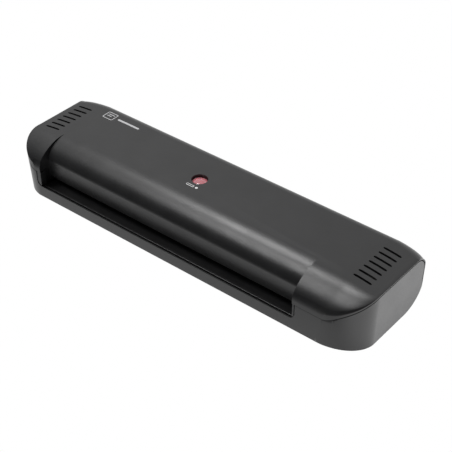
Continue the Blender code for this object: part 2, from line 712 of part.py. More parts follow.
def build_tray():
    tray = tray_blank()
    # trimmed to the casing's outline, rounded at its lower corners, narrowed under the hood
    u_shape = u_outline(TRAY_LEFT, TRAY_RIGHT, TRAY_Z - 1.7, 4.4, 60.0)
    tray = baked(keep(tray, plan_prism(0.35, 0, 60, "tray_plan"),
                      prism("Y", [u_shape], -60, 0, "u_shape")), "tray")
    tray = baked(cut(tray, box((-150, -33.8, 0), (-138.3, 0, 60)),
                     box((109.6, -33.8, 0), (150, 0, 60))), "tray")
    # the upstands' front faces follow the rounded corners of the casing's low front wall
    clear = u_outline(NOTCH_LEFT + 0.5, NOTCH_RIGHT - 0.5, LIP_Z + 0.5, 4.6, 60.0)
    skirt = box((-150.0, -55.0, 2.0), (150.0, TRAY_RIM_Y - 0.2, 22.0))
    skirt = baked(cut(skirt, prism("Y", [clear], -70.0, -30.0, "clear")), "skirt")
    tray = baked(cut(tray, skirt), "tray")
    ticks = [box((x - 0.25, -33.0, TRAY_Z - 0.3), (x + 0.25, -31.2, TRAY_Z + 1.0), "tick")
             for x in TICKS_X]
    finish(baked(cut(tray, *ticks), "tray"), "entry_tray", DARK, rough=0.5)


# ---------------------------------------------------------------- lens, feet and cover screws
def build_lens():
    """The ready window: a lens with a tapered crown, held in the round hole from inside."""
    flange = cylinder("Z", WINDOW, 41.9, 43.35, WINDOW_R + 1.0, 32)
    crown = cylinder("Z", WINDOW, 43.0, 44.7, WINDOW_R - 0.15, 32, end_radius=WINDOW_R - 0.5)
    finish(baked(join(flange, crown), "lens"), "ready_lens", LENS_RED, rough=0.12, alpha=0.9)


def build_feet():
    for tag, centre in FEET.items():
        foot = cylinder("Z", centre, 0.0, Z_BOTTOM + 0.4, FOOT_R - 0.5, end_radius=FOOT_R)
        finish(foot, "foot_" + tag, RUBBER, rough=0.8)


def build_screws():
    slot_long, slot_thin, slot_z = 2.0, 0.3, (6.0, 7.6)   # half sizes of the cross slot
    for tag, (x, y) in SCREWS.items():
        head = cylinder("Z", (x, y), 6.6, 8.7, 2.9, 16)
        shank = cylinder("Z", (x, y), 8.0, 24.0, 1.15, 12)
        slots = [box((x - half_x, y - half_y, slot_z[0]), (x + half_x, y + half_y, slot_z[1]))
                 for half_x, half_y in ((slot_long, slot_thin), (slot_thin, slot_long))]
        screw = baked(cut(join(head, shank), *slots), "screw")
        finish(screw, "cover_screw_" + tag, STEEL, rough=0.35, metal=1.0)


# ---------------------------------------------------------------- side frames and tie bars
FRAME_FOOT_Z = FLOOR_Z + 0.3
FRAME_YZ = [(-22.0, FRAME_FOOT_Z), (22.0, FRAME_FOOT_Z), (28.0, 6.2), (33.0, 9.5), (34.0, 12.0),
            (34.0, 24.0), (26.0, 40.0), (2.0, 40.0), (-8.0, 30.0), (-22.0, 26.0)]
FLANGES_Y = ((18.5, 23.0), (-12.0, -6.0))
TIE_BARS = (("front", -16.0, 23.0), ("rear", 28.0, 26.5))   # tag, Y, Z


def side_frame(x0, x1, name, flange_x):
    half = BLOCK_W / 2 + 0.15
    slot_low = UPPER_Z - BLOCK_H / 2 - 0.3
    slot = [(ROLLER_Y - half, slot_low), (ROLLER_Y + half, slot_low),
            (ROLLER_Y + half, SLOT_TOP_Z), (ROLLER_Y - half, SLOT_TOP_Z)]
    bush_hole = circle(LOWER_AXIS, BUSH_R + 0.05, 24)
    plate = prism("X", [FRAME_YZ, slot, bush_hole], x0, x1, name)
    flanges = [box((flange_x[0], y0, FRAME_FOOT_Z), (flange_x[1], y1, FRAME_FOOT_Z + 1.2))
               for y0, y1 in FLANGES_Y]
    return baked(join(plate, *flanges), name)


def build_frames():
    """The frames' foot flanges both point inwards."""
    inner = LEFT_FRAME_X[1]
    left = side_frame(*LEFT_FRAME_X, "left_side_frame", (inner - 0.5, inner + 7.0))
    finish(left, "left_side_frame", ZINC, rough=0.4, metal=1.0)
    inner = RIGHT_FRAME_X[0]
    right = side_frame(*RIGHT_FRAME_X, "right_side_frame", (inner - 7.0, inner + 0.5))
    right = baked(cut(right, cylinder("X", IDLER_AXIS, 110, 118, PIN_R + 0.08, 20),
                      cylinder("X", PINION_AXIS, 110, 118, 3.2, 20)), "right_side_frame")
    finish(right, "right_side_frame", ZINC, rough=0.4, metal=1.0)
    for tag, y, z in TIE_BARS:
        bar = box((BETWEEN_X[0], y - 2.0, z - 1.0), (BETWEEN_X[1], y + 2.0, z + 1.0))
        finish(bar, tag + "_tie_bar", ZINC, rough=0.4, metal=1.0)


# ---------------------------------------------------------------- rollers and their bearings
SPRING_TURNS, SPRING_STEPS = 4, 12   # steps are per turn
SPRING_R, SPRING_WIRE_R, SPRING_GAP = 2.3, 0.45, 0.55


def with_shaft_bore(obj, axis, x0, x1, name):
    bore = cylinder("X", axis, x0, x1, SHAFT_R + SHAFT_FIT, SHAFT_N)
    return baked(cut(obj, bore), name)


def build_rollers():
    for axis, tag in ((LOWER_AXIS, "lower"), (UPPER_AXIS, "upper")):
        shaft = cylinder("X", axis, LEFT_FRAME_X[0] - 2.6, GEAR_X[1] + 0.8, SHAFT_R, SHAFT_N)
        finish(origin_to(shaft, (0, *axis)), tag + "_roller_shaft", STEEL, rough=0.25, metal=1.0)
        sleeve = cylinder("X", axis, *SLEEVE_X, SLEEVE_R, SLEEVE_N)
        sleeve = with_shaft_bore(sleeve, axis, SLEEVE_X[0] - 5, SLEEVE_X[1] + 5, "sleeve")
        finish(origin_to(sleeve, (0, *axis)), tag + "_roller_sleeve", SILICONE, rough=0.6)


def pressure_spring(middle_x):
    """The coil between an upper block and the top of its slot."""
    low, high = UPPER_Z + BLOCK_H / 2 + SPRING_GAP, SLOT_TOP_Z - SPRING_GAP
    count = SPRING_TURNS * SPRING_STEPS
    points = []
    for i in range(count + 1):
        angle = 2 * math.pi * i / SPRING_STEPS
        points.append((middle_x + SPRING_R * math.cos(angle),
                       ROLLER_Y + SPRING_R * math.sin(angle), low + (high - low) * i / count))
    return tube(points, SPRING_WIRE_R, "spring")


def build_bearings():
    """Lower bushes fixed in the frames; upper blocks free to rise in the frames' slots."""
    for (x0, x1), tag in ((LEFT_FRAME_X, "left"), (RIGHT_FRAME_X, "right")):
        middle_x = (x0 + x1) / 2
        bush = cylinder("X", LOWER_AXIS, x0 - 1.0, x1 + 1.0, BUSH_R)
        bush = with_shaft_bore(bush, LOWER_AXIS, x0 - 4, x1 + 4, "bush")
        finish(bush, tag + "_lower_bush", BRONZE, rough=0.4, metal=1.0)
        block = box((x0 - 1.0, ROLLER_Y - BLOCK_W / 2, UPPER_Z - BLOCK_H / 2),
                    (x1 + 1.0, ROLLER_Y + BLOCK_W / 2, UPPER_Z + BLOCK_H / 2))
        block = with_shaft_bore(block, UPPER_AXIS, x0 - 4, x1 + 4, "block")
        finish(origin_to(block, (middle_x, *UPPER_AXIS)), tag + "_bearing_block", CREAM, rough=0.45)
        finish(pressure_spring(middle_x), tag + "_pressure_spring", STEEL, rough=0.3, metal=1.0)


# ---------------------------------------------------------------- heating, guards and guides
ELEMENT_X = (-130.0, 101.0)
# Flat strips along the sheet path: name, Y span, span of height above the path, X span, look
PATH_STRIPS = (
    ("lower_heating_plate", (-17.0, 5.0), (-3.4, -0.5), BETWEEN_X,
     dict(rgb=ALUMINIUM, rough=0.35, metal=1.0)),
    ("lower_heating_element", (-14.5, 2.5), (-4.9, -3.7), ELEMENT_X,
     dict(rgb=ELEMENT_TAN, rough=0.6)),
    ("upper_heating_plate", (-17.0, 5.0), (0.7, 3.6), BETWEEN_X,
     dict(rgb=ALUMINIUM, rough=0.35, metal=1.0)),
    ("upper_heating_element", (-13.0, 2.5), (3.9, 5.1), ELEMENT_X,
     dict(rgb=ELEMENT_TAN, rough=0.6)),
    ("exit_guide", (20.5, 41.2), (-2.0, -0.8), (-137.5, 108.6), dict(rgb=DARK, rough=0.5)),
)
THERMOSTAT = (-30.0, -4.0)   # X, Y
SHIELD_YZ = [(-21.0, 27.5), (-14.0, 33.5), (24.0, 33.5), (30.0, 29.0),
             (30.6, 29.6), (24.3, 34.3), (-14.3, 34.3), (-21.6, 28.0)]
GUIDE_T = 1.2


def build_path_strips():
    for name, (y0, y1), (low, high), x_span, look in PATH_STRIPS:
        outline = [(y0, path_z(y0) + low), (y1, path_z(y1) + low),
                   (y1, path_z(y1) + high), (y0, path_z(y0) + high)]
        finish(prism("X", [outline], *x_span, "strip"), name, **look)


def build_thermal_cutouts():
    body = cylinder("Z", THERMOSTAT, 20.2, 24.0, 6.0)
    cap = cylinder("Z", THERMOSTAT, 23.5, 29.0, 4.6)
    finish(baked(join(body, cap), "stack"), "thermostat", THERMOSTAT_BROWN, rough=0.5)
    finish(cylinder("X", (-4.0, 21.6), 20.0, 32.0, 1.9, 16), "thermal_fuse", FUSE_WHITE, rough=0.5)


def build_heat_shield():
    left, right = BETWEEN_X
    sheet = prism("X", [SHIELD_YZ], left + 1.9, right - 1.9, "shield")
    tabs = [box((x0, 25.8, 29.6), (x1, 29.8, 31.4), "tab")
            for x0, x1 in ((left, left + 3.7), (right - 3.7, right))]
    finish(baked(join(sheet, *tabs), "shield"), "heat_shield", SHIELD_METAL, rough=0.3, metal=1.0)


def build_feed_guide():
    front_y, front_z, back_y = -26.4, 14.9, -17.6
    back_z = path_z(back_y) + 1.0
    outline = [(front_y, front_z), (back_y, back_z),
               (back_y, back_z + GUIDE_T), (front_y, front_z + GUIDE_T)]
    guide = prism("X", [outline], -136.5, 107.5, "guide")
    finish(guide, "upper_feed_guide", DARK, rough=0.5)


# ---------------------------------------------------------------- gears
def gear_ring(teeth, phase):
    """Outline of an involute gear, its first tooth pointing along phase."""
    pitch_r = MODULE * teeth / 2
    base_r = pitch_r * math.cos(PRESSURE_ANGLE)
    tip_r, root_r = pitch_r + ADDENDUM * MODULE, pitch_r - DEDENDUM * MODULE

    def involute(radius):
        angle = math.acos(min(1.0, base_r / radius))
        return math.tan(angle) - angle

    base_half = math.pi / (2 * teeth) - BACKLASH / (2 * pitch_r) + involute(pitch_r)
    start = max(base_r, root_r)
    flank = [(root_r, base_half)] if root_r < base_r else []   # radius, half angle of the tooth
    for i in range(FLANK_N + 1):
        radius = start + (tip_r - start) * i / FLANK_N
        flank.append((radius, base_half - involute(radius)))
    ring = []
    for k in range(teeth):
        middle = phase + 2 * math.pi * k / teeth
        for radius, half in flank:
            ring.append((radius * math.cos(middle - half), radius * math.sin(middle - half)))
        for radius, half in reversed(flank):
            ring.append((radius * math.cos(middle + half), radius * math.sin(middle + half)))
    return ring


def meshing_phase(teeth_a, axis_a, phase_a, teeth_b, axis_b):
    """The phase that puts gear b in mesh with gear a."""
    line = math.atan2(axis_b[1] - axis_a[1], axis_b[0] - axis_a[0])
    return line + math.pi + math.pi / teeth_b - (phase_a - line) * teeth_a / teeth_b


def build_gears():
    lower = math.radians(90.0)
    upper = meshing_phase(N_ROLLER, LOWER_AXIS, lower, N_ROLLER, UPPER_AXIS)
    idler = meshing_phase(N_ROLLER, LOWER_AXIS, lower, N_IDLER, IDLER_AXIS)
    pinion = meshing_phase(N_IDLER, IDLER_AXIS, idler, N_PINION, PINION_AXIS)
    plastic = dict(rgb=CREAM, rough=0.45)
    metal = dict(rgb=BRONZE, rough=0.35, metal=1.0)
    roller_bore = SHAFT_R + SHAFT_FIT
    # name, teeth, axis, phase, bore radius, extra width at each face, look
    gears = (
        ("lower_roller_gear", N_ROLLER, LOWER_AXIS, lower, roller_bore, 0.0, plastic),
        ("upper_roller_gear", N_ROLLER, UPPER_AXIS, upper, roller_bore, 0.0, plastic),
        ("idler_gear", N_IDLER, IDLER_AXIS, idler, PIN_R + 0.07, -0.2, plastic),
        ("motor_pinion", N_PINION, PINION_AXIS, pinion, PINION_SHAFT_R + 0.06, 0.2, metal),
    )
    for name, teeth, axis, phase, bore, extra, look in gears:
        ring = [(axis[0] + a, axis[1] + b) for a, b in gear_ring(teeth, phase)]
        gear = prism("X", [ring, circle(axis, bore, 20)], GEAR_X[0] - extra, GEAR_X[1] + extra,
                     name)
        finish(origin_to(gear, (0, *axis)), name, **look)


# ---------------------------------------------------------------- motor
BRACKET_X = (122.8, 124.3)
BRACKET_YZ = [(-34.0, 12.0), (-18.0, 5.0), (6.0, 5.0), (6.0, 30.0),
              (-4.0, 40.0), (-26.0, 40.0), (-34.0, 30.0)]
PILLARS_YZ = ((-19.0, 22.0), (-2.0, 30.0))


def build_motor():
    shaft = cylinder("X", PINION_AXIS, 115.2, MOTOR_X[0] - 0.3, PINION_SHAFT_R, 20)
    finish(origin_to(shaft, (0, *PINION_AXIS)), "motor_output_shaft", STEEL, rough=0.3, metal=1.0)
    pin = cylinder("X", IDLER_AXIS, 112.1, 122.4, PIN_R, 20)
    finish(pin, "idler_pin", STEEL, rough=0.3, metal=1.0)
    axis = (PINION_AXIS[0] + MOTOR_OFFSET[0], PINION_AXIS[1] + MOTOR_OFFSET[1])
    can = cylinder("X", axis, *MOTOR_X, MOTOR_R, 40)
    collar = cylinder("X", axis, MOTOR_X[1] - 1.0, MOTOR_X[1] + 1.2, MOTOR_R - 5, 32)
    finish(baked(join(can, collar), "motor"), "gear_motor", MOTOR_METAL, rough=0.35, metal=1.0)


def build_motor_bracket():
    """A plate on the left of the motor, held off the right frame by two pillars."""
    plate = prism("X", [BRACKET_YZ, circle(PINION_AXIS, 3.0, 20)], *BRACKET_X, "bracket")
    pillars = [cylinder("X", centre, RIGHT_FRAME_X[1] + FRAME_GAP, BRACKET_X[0] + 0.5, 2.2, 16)
               for centre in PILLARS_YZ]
    bracket = baked(join(plate, *pillars), "bracket_joined")
    finish(bracket, "motor_bracket", ZINC, rough=0.4, metal=1.0)


# ---------------------------------------------------------------- electrics
# Plain boxes: name, low corner, high corner, colour, roughness
ELECTRIC_BOXES = (
    ("control_board", (154.6, -24.0, 8.0), (156.2, 24.0, 38.0), BOARD_GREEN, 0.5),
    ("relay", (144.5, -14.0, 12.0), (154.3, -4.0, 27.0), RELAY_BLACK, 0.4),
    ("terminal_block", (146.0, -2.0, 10.0), (154.3, 3.5, 34.0), TERMINAL_GREEN, 0.5),
    ("indicator_board", (WINDOW[0] - 12.0, WINDOW[1] - 6.0, 34.6),
     (WINDOW[0] + 12.0, WINDOW[1] + 6.0, 35.1), BOARD_GREEN, 0.5),
)
SWITCH_BACK_Y = Y_BACK - 0.9
ROCKER_Y = SWITCH_BACK_Y - 4.0
ROCKER_HALF_X = 4.7
ROCKER_HALF_Z = 5.0
ROCKER_DISH = 1.5         # hollow of the rocker's outer face
ROCKER_FACE_N = 8
ROCKER_TILT = 9.0         # at rest the rocker lies in its off position
# Inner side of the rocker from top to bottom: Y and Z from its turning axis
ROCKER_INNER = ((-0.6, 4.8), (-2.2, 2.4), (-2.8, 0.0), (-2.2, -2.4), (-0.6, -4.8))


def build_electrics():
    for name, low, high, rgb, rough in ELECTRIC_BOXES:
        finish(box(low, high), name, rgb, rough=rough)
    capacitor = cylinder("X", (10.0, 20.0), 143.5, 154.3, 5.0)
    finish(capacitor, "capacitor", CAPACITOR_BLUE, rough=0.4)
    foot = cylinder("Z", WINDOW, 35.3, 37.0, 2.9, 20)
    bulb = cylinder("Z", WINDOW, 36.6, 41.0, 2.5, 20, end_radius=1.6)
    finish(baked(join(foot, bulb), "led"), "indicator_led", LED_RED, rough=0.2)


def build_switch():
    back = SWITCH_BACK_Y
    housing = box_about(SWITCH_X, SWITCH_Z, SWITCH_HALF_X, SWITCH_HALF_Z, (back - 16.0, back - 0.3))
    pocket = box_about(SWITCH_X, SWITCH_Z, 5.0, 6.0, (back - 8.0, back + 2.0))
    finish(baked(cut(housing, pocket), "housing"), "switch_housing", DARK, rough=0.4)
    outline = []
    for k in range(ROCKER_FACE_N + 1):
        t = -1 + 2 * k / ROCKER_FACE_N
        outline.append((ROCKER_Y + 3.6 - ROCKER_DISH * (1 - t * t), SWITCH_Z + ROCKER_HALF_Z * t))
    outline += [(ROCKER_Y + y, SWITCH_Z + z) for y, z in ROCKER_INNER]
    rocker = prism("X", [outline], SWITCH_X - ROCKER_HALF_X, SWITCH_X + ROCKER_HALF_X, "rocker")
    origin_to(rocker, (SWITCH_X, ROCKER_Y, SWITCH_Z))
    rocker.data.transform(Matrix.Rotation(math.radians(-ROCKER_TILT), 4, "X"))
    finish(rocker, "switch_rocker", RUBBER, rough=0.35)


def build_inlet():
    """Mains inlet for a two-pole cord."""
    body = box_about(INLET_X, INLET_Z, INLET_HALF_X, INLET_HALF_Z, (Y_BACK - 15.0, Y_BACK - 0.3))
    well = box_about(INLET_X, INLET_Z, 6.6, 3.2, (Y_BACK - 11.0, Y_BACK + 2.0))
    pins = [cylinder("Y", (INLET_Z, INLET_X + side * 3.3), Y_BACK - 12.0, Y_BACK - 3.0, 1.1, 12)
            for side in (-1, 1)]
    inlet = baked(cut(body, well), "inlet")
    finish(baked(join(inlet, *pins), "inlet"), "mains_inlet", DARK, rough=0.45)


# Leads: name, wire radius, colour, points
LEADS = (
    ("motor_lead", 0.9, (0.5, 0.05, 0.04),
     [(150.0, 6.0, 12.0), (150.0, 6.0, 6.6), (138.0, 4.5, 6.6), (131.0, 6.5, 6.6)]),
    ("heater_lead", 0.9, (0.6, 0.58, 0.52),
     [(150.0, -3.5, 30.0), (150.0, -8.0, 41.6), (118.0, -12.0, 41.6), (101.0, -21.5, 38.5),
      (98.0, -24.3, 31.0), (97.0, -23.2, 23.5), (97.0, -18.5, 20.3), (97.0, -11.5, 19.4)]),
    ("indicator_lead", 0.7, (0.03, 0.03, 0.03),
     [(148.0, 1.0, 35.2), (136.0, 6.0, 42.0), (105.0, 6.0, 42.0), (30.0, 6.0, 41.0),
      (6.5, 6.0, 37.2), (-2.0, 6.1, 36.3)]),
)


def build_leads():
    for name, radius, rgb, points in LEADS:
        finish(wire(points, radius), name, rgb, rough=0.5)


build_cover()
build_base()
build_tray()
build_lens()
build_feet()
build_screws()
build_frames()
build_rollers()
build_bearings()
build_path_strips()
build_thermal_cutouts()
build_heat_shield()
build_feed_guide()
build_gears()
build_motor()
build_motor_bracket()
build_electrics()
build_switch()
build_inlet()
build_leads()
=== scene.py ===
"""Looks for a pouch laminator: casing, tray, lens, feet, screws and print over its CAD pieces.

X runs along the rollers, to the right seen from the front. The feed tray faces -Y, the exit
slot faces +Y and Z is up. Shapes are drawn in millimetres and scaled to metres by MM.
"""

import math
from collections import namedtuple

import bmesh
import bpy
from mathutils import Matrix, Vector

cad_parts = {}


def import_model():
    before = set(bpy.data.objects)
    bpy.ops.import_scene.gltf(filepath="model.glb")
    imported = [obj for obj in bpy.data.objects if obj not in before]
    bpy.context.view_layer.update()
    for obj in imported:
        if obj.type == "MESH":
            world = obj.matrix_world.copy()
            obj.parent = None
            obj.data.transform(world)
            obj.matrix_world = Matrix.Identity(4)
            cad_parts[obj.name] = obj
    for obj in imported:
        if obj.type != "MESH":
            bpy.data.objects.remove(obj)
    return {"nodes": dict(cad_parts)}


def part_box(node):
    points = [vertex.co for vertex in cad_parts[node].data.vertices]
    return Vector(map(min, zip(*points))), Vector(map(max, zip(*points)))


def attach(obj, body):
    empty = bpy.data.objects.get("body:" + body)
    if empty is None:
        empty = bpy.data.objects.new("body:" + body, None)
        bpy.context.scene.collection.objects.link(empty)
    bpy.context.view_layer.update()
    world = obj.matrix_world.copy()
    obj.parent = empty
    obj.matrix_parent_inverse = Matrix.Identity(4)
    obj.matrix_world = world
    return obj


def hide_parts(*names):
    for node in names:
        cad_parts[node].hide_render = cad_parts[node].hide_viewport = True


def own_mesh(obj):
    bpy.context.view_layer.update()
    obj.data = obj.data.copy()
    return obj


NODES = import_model()["nodes"]
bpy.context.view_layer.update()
SCENE = bpy.context.scene
MM = 0.001

# ---------------------------------------------------------------- dimensions, mm
# casing envelope
HALF_L, END_DRAFT = 162.5, 1.15      # half length at the bottom, and its gain by the top
Y_FRONT, Y_BACK = -43.9, 43.9
Z_BOT, Z_TOP = 1.6, 45.85
HEIGHT = Z_TOP - Z_BOT
WALL = 2.2
# plan: front corners as (along X, along Y), and the shallow arcs ending the back
LEFT_CORNER = (24.6, 23.0)
RIGHT_CORNER = (34.0, 23.7)
CORNER_TIGHTEN = 8.0                 # the corners' loss along X by the top
BACK_RUN, BACK_A, BACK_B, BACK_ARC = 22.6, 23.8, 6.7, 1.1  # length, ellipse radii, end easing
# side view: front roll, crease below it, rounded back, undercut below the back
ROLL_Y, CREASE_Z, ROLL_HANDLE_TOP, ROLL_HANDLE_LOW = -18.5, 31.2, 11.6, 5.8
CREASE_LEAN = 18.0                   # degrees off upright where the roll meets the crease
BACK_TOP_R, END_TOP_R = 10.3, 13.4   # top back radius along the middle and at the ends
UNDERCUT_Y, UNDERCUT_Z = 22.0, 18.5
# joint between cover and base
PART_FRONT_Z, PART_BACK_Z, RIM, SEAM = 24.7, 19.1, 0.9, 0.85
JOINT_DIP = 1.8                      # how far the joint leaves the roll towards the front
LIP_INSET, LIP_T = 2.5, 1.8
# recess in the cover's front and the hood across it
RECESS_L, RECESS_R = -137.9, 109.0
HOOD_TOP_Y, HOOD_FRONT_Y, HOOD_TOP_Z = -13.0, -35.0, 33.2
HOOD_LOW_Y, HOOD_LOW_Z = -33.6, 16.2
CHEEK_LOW_Z = 12.5
ROLL_INSET = 0.5                     # hood and cheeks stay this far inside the roll
# feed tray and the notch it sits in
LIP_Z, TRAY_Z = 11.3, 9.4
TRAY_L, TRAY_R, TRAY_UP_Z = -141.7, 110.6, 24.3
NOTCH_L, NOTCH_R, LIP_T_FRONT = -142.2, 111.5, 1.0
TRAY_RIM_Y = Y_FRONT + LIP_T_FRONT + 1.8
TRAY_BEND_Y, RAMP_END_Y = -30.0, -18.0
TRAY_T = 1.6
TICKS_X = (-75.2, -51.8, 18.6, 63.4, 86.9)
ROLL_C_Y, NIP_Z, PATH_SLOPE = 14.0, 16.3, 0.134  # rollers' Y, nip height, rise of the path
# openings
VENT_N, VENT_PITCH, VENT_Y0, VENT_W, VENT_SKEW = 7, 6.16, 4.9, 1.95, 1.9
VENTS_X = ((-158.2, -145.6), (137.0, 152.8))
WINDOW, WINDOW_R = (-15.0, 6.1), 6.4
EXIT_X, EXIT_Z = (-138.5, 109.6), (18.2, 22.6)
BACK_SOCKETS = (                     # centre x, centre z, half width, half height
    (141.5, 28.0, 6.6, 7.6),         # switch
    (124.0, 29.0, 9.1, 5.1),         # mains inlet
)
# fixings
SCREWS = ((-149.0, -20.5), (149.0, -20.5), (-150.5, 23.0), (128.5, 19.8))
SCREW_SPLIT_Z, SCREW_SPLIT_GAP = 15.0, 0.15      # where cover posts and base bosses meet
WINDOW_POST_DX = 9.5
FEET = [(x, y) for y in (-30.5, 14.0) for x in (-141.0, 141.0)]
FOOT_R = 6.0
# steps along curves
FINE = 3
CORNER_N, BACK_N, PLAN_LEVELS = 9 * FINE, 7 * FINE, 12
ROLL_N, ROUND_N, U_N = 14 * FINE, 7 * FINE, 5 * FINE
SWEEP_ROLL_N = 90
# the roll carried around the front corners
SWEEP_POWER = 0.5                    # how fast it narrows as it flattens
SWEEP_MIX = 0.5                      # share of the straight roll kept in the right corner
ON_FRONT = Y_FRONT + 1e-6            # points up to here lie on the front face
CORNER_END_Y = ROLL_Y - 0.6
# cutting tools reach past the casing to these places
FAR, BELOW, ABOVE = 70.0, -10.0, 60.0

AXES = {
    "X": Matrix(((0, 0, 1), (1, 0, 0), (0, 1, 0))).to_4x4(),
    "Y": Matrix(((0, 1, 0), (0, 0, 1), (1, 0, 0))).to_4x4(),
    "Z": Matrix.Identity(4),
}
Back = namedtuple("Back", "y radius")  # the back face and its top radius at one station


# ---------------------------------------------------------------- shape helpers
def add_object(bm):
    mesh = bpy.data.meshes.new("shape")
    bmesh.ops.recalc_face_normals(bm, faces=bm.faces)
    bm.to_mesh(mesh)
    bm.free()
    o = bpy.data.objects.new("shape", mesh)
    SCENE.collection.objects.link(o)
    return o


def evaluated_mesh(o):
    bpy.context.view_layer.update()
    depsgraph = bpy.context.evaluated_depsgraph_get()
    return bpy.data.meshes.new_from_object(o.evaluated_get(depsgraph))


def evaluated_bmesh(o, weld):
    """The object's final mesh for editing, with points closer than weld merged."""
    mesh = evaluated_mesh(o)
    bm = bmesh.new()
    bm.from_mesh(mesh)
    bpy.data.meshes.remove(mesh)
    bmesh.ops.remove_doubles(bm, verts=bm.verts, dist=weld)
    return bm


def box(lo, hi):
    bm = bmesh.new()
    bmesh.ops.create_cube(bm, size=1.0)
    lo, hi = Vector(lo) * MM, Vector(hi) * MM
    for v in bm.verts:
        v.co = Vector([(lo[i] + hi[i]) / 2 + v.co[i] * (hi[i] - lo[i]) for i in range(3)])
    return add_object(bm)


def back_box(x0, x1, z0, z1, depth=6.0):
    """A box through the back face."""
    return box((x0, Y_BACK - depth, z0), (x1, Y_BACK + 6, z1))


def cylinder(centre, lo, hi, radius, n=32):
    """An upright cylinder."""
    bm = bmesh.new()
    bmesh.ops.create_cone(bm, cap_ends=True, segments=n, radius1=radius * MM,
                          radius2=radius * MM, depth=(hi - lo) * MM)
    middle = (centre[0] * MM, centre[1] * MM, (lo + hi) / 2 * MM)
    bmesh.ops.translate(bm, verts=bm.verts, vec=middle)
    return add_object(bm)


def rings_to_solid(rings):
    """A closed body through rings of equal point count; sides that are not flat are split."""
    bm = bmesh.new()
    rows = [[bm.verts.new(Vector(p) * MM) for p in ring] for ring in rings]
    n = len(rows[0])
    sides = []
    for a, b in zip(rows[:-1], rows[1:]):
        for i in range(n):
            j = (i + 1) % n
            sides.append(bm.faces.new((a[i], a[j], b[j], b[i])))
    bm.faces.new(rows[0])
    bm.faces.new(rows[-1])
    bmesh.ops.recalc_face_normals(bm, faces=bm.faces)
    bent = []
    for face in sides:
        c = face.calc_center_median()
        if max(abs((v.co - c).dot(face.normal)) for v in face.verts) > 1e-8:
            bent.append(face)
    bmesh.ops.triangulate(bm, faces=bent)
    return add_object(bm)


def prism(axis, outlines, lo, hi):
    """Outlines filled and run along an axis; points are (y, z), (z, x) or (x, y) for X, Y, Z."""
    curve = bpy.data.curves.new("prism", "CURVE")
    curve.dimensions = "2D"
    curve.fill_mode = "BOTH"
    curve.extrude = (hi - lo) / 2 * MM
    for outline in outlines:
        spline = curve.splines.new("POLY")
        spline.points.add(len(outline) - 1)
        for p, (a, b) in zip(spline.points, outline):
            p.co = (a * MM, b * MM, 0.0, 1.0)
        spline.use_cyclic_u = True
    drawn = bpy.data.objects.new("prism", curve)
    SCENE.collection.objects.link(drawn)
    drawn.matrix_world = AXES[axis] @ Matrix.Translation((0, 0, (lo + hi) / 2 * MM))
    bm = evaluated_bmesh(drawn, 1e-7)
    bmesh.ops.transform(bm, verts=bm.verts, matrix=drawn.matrix_world)
    bpy.data.objects.remove(drawn, do_unlink=True)
    return add_object(bm)


def turned(profile, x, y, n=96):
    """A closed body turned about Z; (radius, z) points run from the axis out and back to it."""
    bm = bmesh.new()
    rows = []
    for r, z in profile:
        if r < 1e-6:
            rows.append([bm.verts.new((0, 0, z * MM))])
        else:
            angles = [2 * math.pi * k / n for k in range(n)]
            rows.append([bm.verts.new((r * MM * math.cos(a), r * MM * math.sin(a), z * MM))
                         for a in angles])
    for a, b in zip(rows[:-1], rows[1:]):
        for k in range(n):
            j = (k + 1) % n
            if len(a) == 1 and len(b) > 1:
                bm.faces.new((a[0], b[k], b[j]))
            elif len(b) == 1 and len(a) > 1:
                bm.faces.new((a[k], b[0], a[j]))
            elif len(a) > 1:
                bm.faces.new((a[k], a[j], b[j], b[k]))
    bmesh.ops.translate(bm, verts=bm.verts, vec=Vector((x, y, 0)) * MM)
    return add_object(bm)


def boolean(target, tools, operation):
    """The target worked by each tool in turn, as a new object; target and tools are used up."""
    for tool in tools:
        modifier = target.modifiers.new(operation.lower(), "BOOLEAN")
        modifier.operation = operation
        modifier.solver = "EXACT"
        modifier.object = tool
    bm = evaluated_bmesh(target, 2e-7)
    bmesh.ops.dissolve_degenerate(bm, edges=bm.edges, dist=2e-7)
    for used in (*tools, target):
        bpy.data.objects.remove(used, do_unlink=True)
    return add_object(bm)


def cut(target, *tools):
    return boolean(target, tools, "DIFFERENCE")


def join(target, *tools):
    return boolean(target, tools, "UNION")


def keep(target, *tools):
    return boolean(target, tools, "INTERSECT")


# ---------------------------------------------------------------- curves
def ellipse(cx, cy, rx, ry, a0, a1, n):
    angles = [math.radians(a0 + (a1 - a0) * i / n) for i in range(n + 1)]
    return [(cx + rx * math.cos(a), cy + ry * math.sin(a)) for a in angles]


def quadratic(p0, p1, p2, n):
    return [tuple((1 - t) ** 2 * a + 2 * t * (1 - t) * b + t * t * c
                  for a, b, c in zip(p0, p1, p2)) for t in (i / n for i in range(n + 1))]


def cubic(p0, p1, p2, p3, n):
    return [tuple((1 - t) ** 3 * a + 3 * t * (1 - t) ** 2 * b + 3 * t * t * (1 - t) * c + t ** 3 * d
                  for a, b, c, d in zip(p0, p1, p2, p3)) for t in (i / n for i in range(n + 1))]


def offset_path(path, distance):
    out = []
    for i, p in enumerate(path):
        a = Vector(path[max(i - 1, 0)])
        b = Vector(path[min(i + 1, len(path) - 1)])
        along = (b - a).normalized()
        out.append((p[0] + along.y * distance, p[1] - along.x * distance))
    return out


def rounded(x0, x1, y0, y1, r):
    """A rectangle with round corners."""
    points = []
    for cx, cy, a in ((x1 - r, y1 - r, 0), (x0 + r, y1 - r, 90),
                      (x0 + r, y0 + r, 180), (x1 - r, y0 + r, 270)):
        points += ellipse(cx, cy, r, r, a, a + 90, 6)
    return points


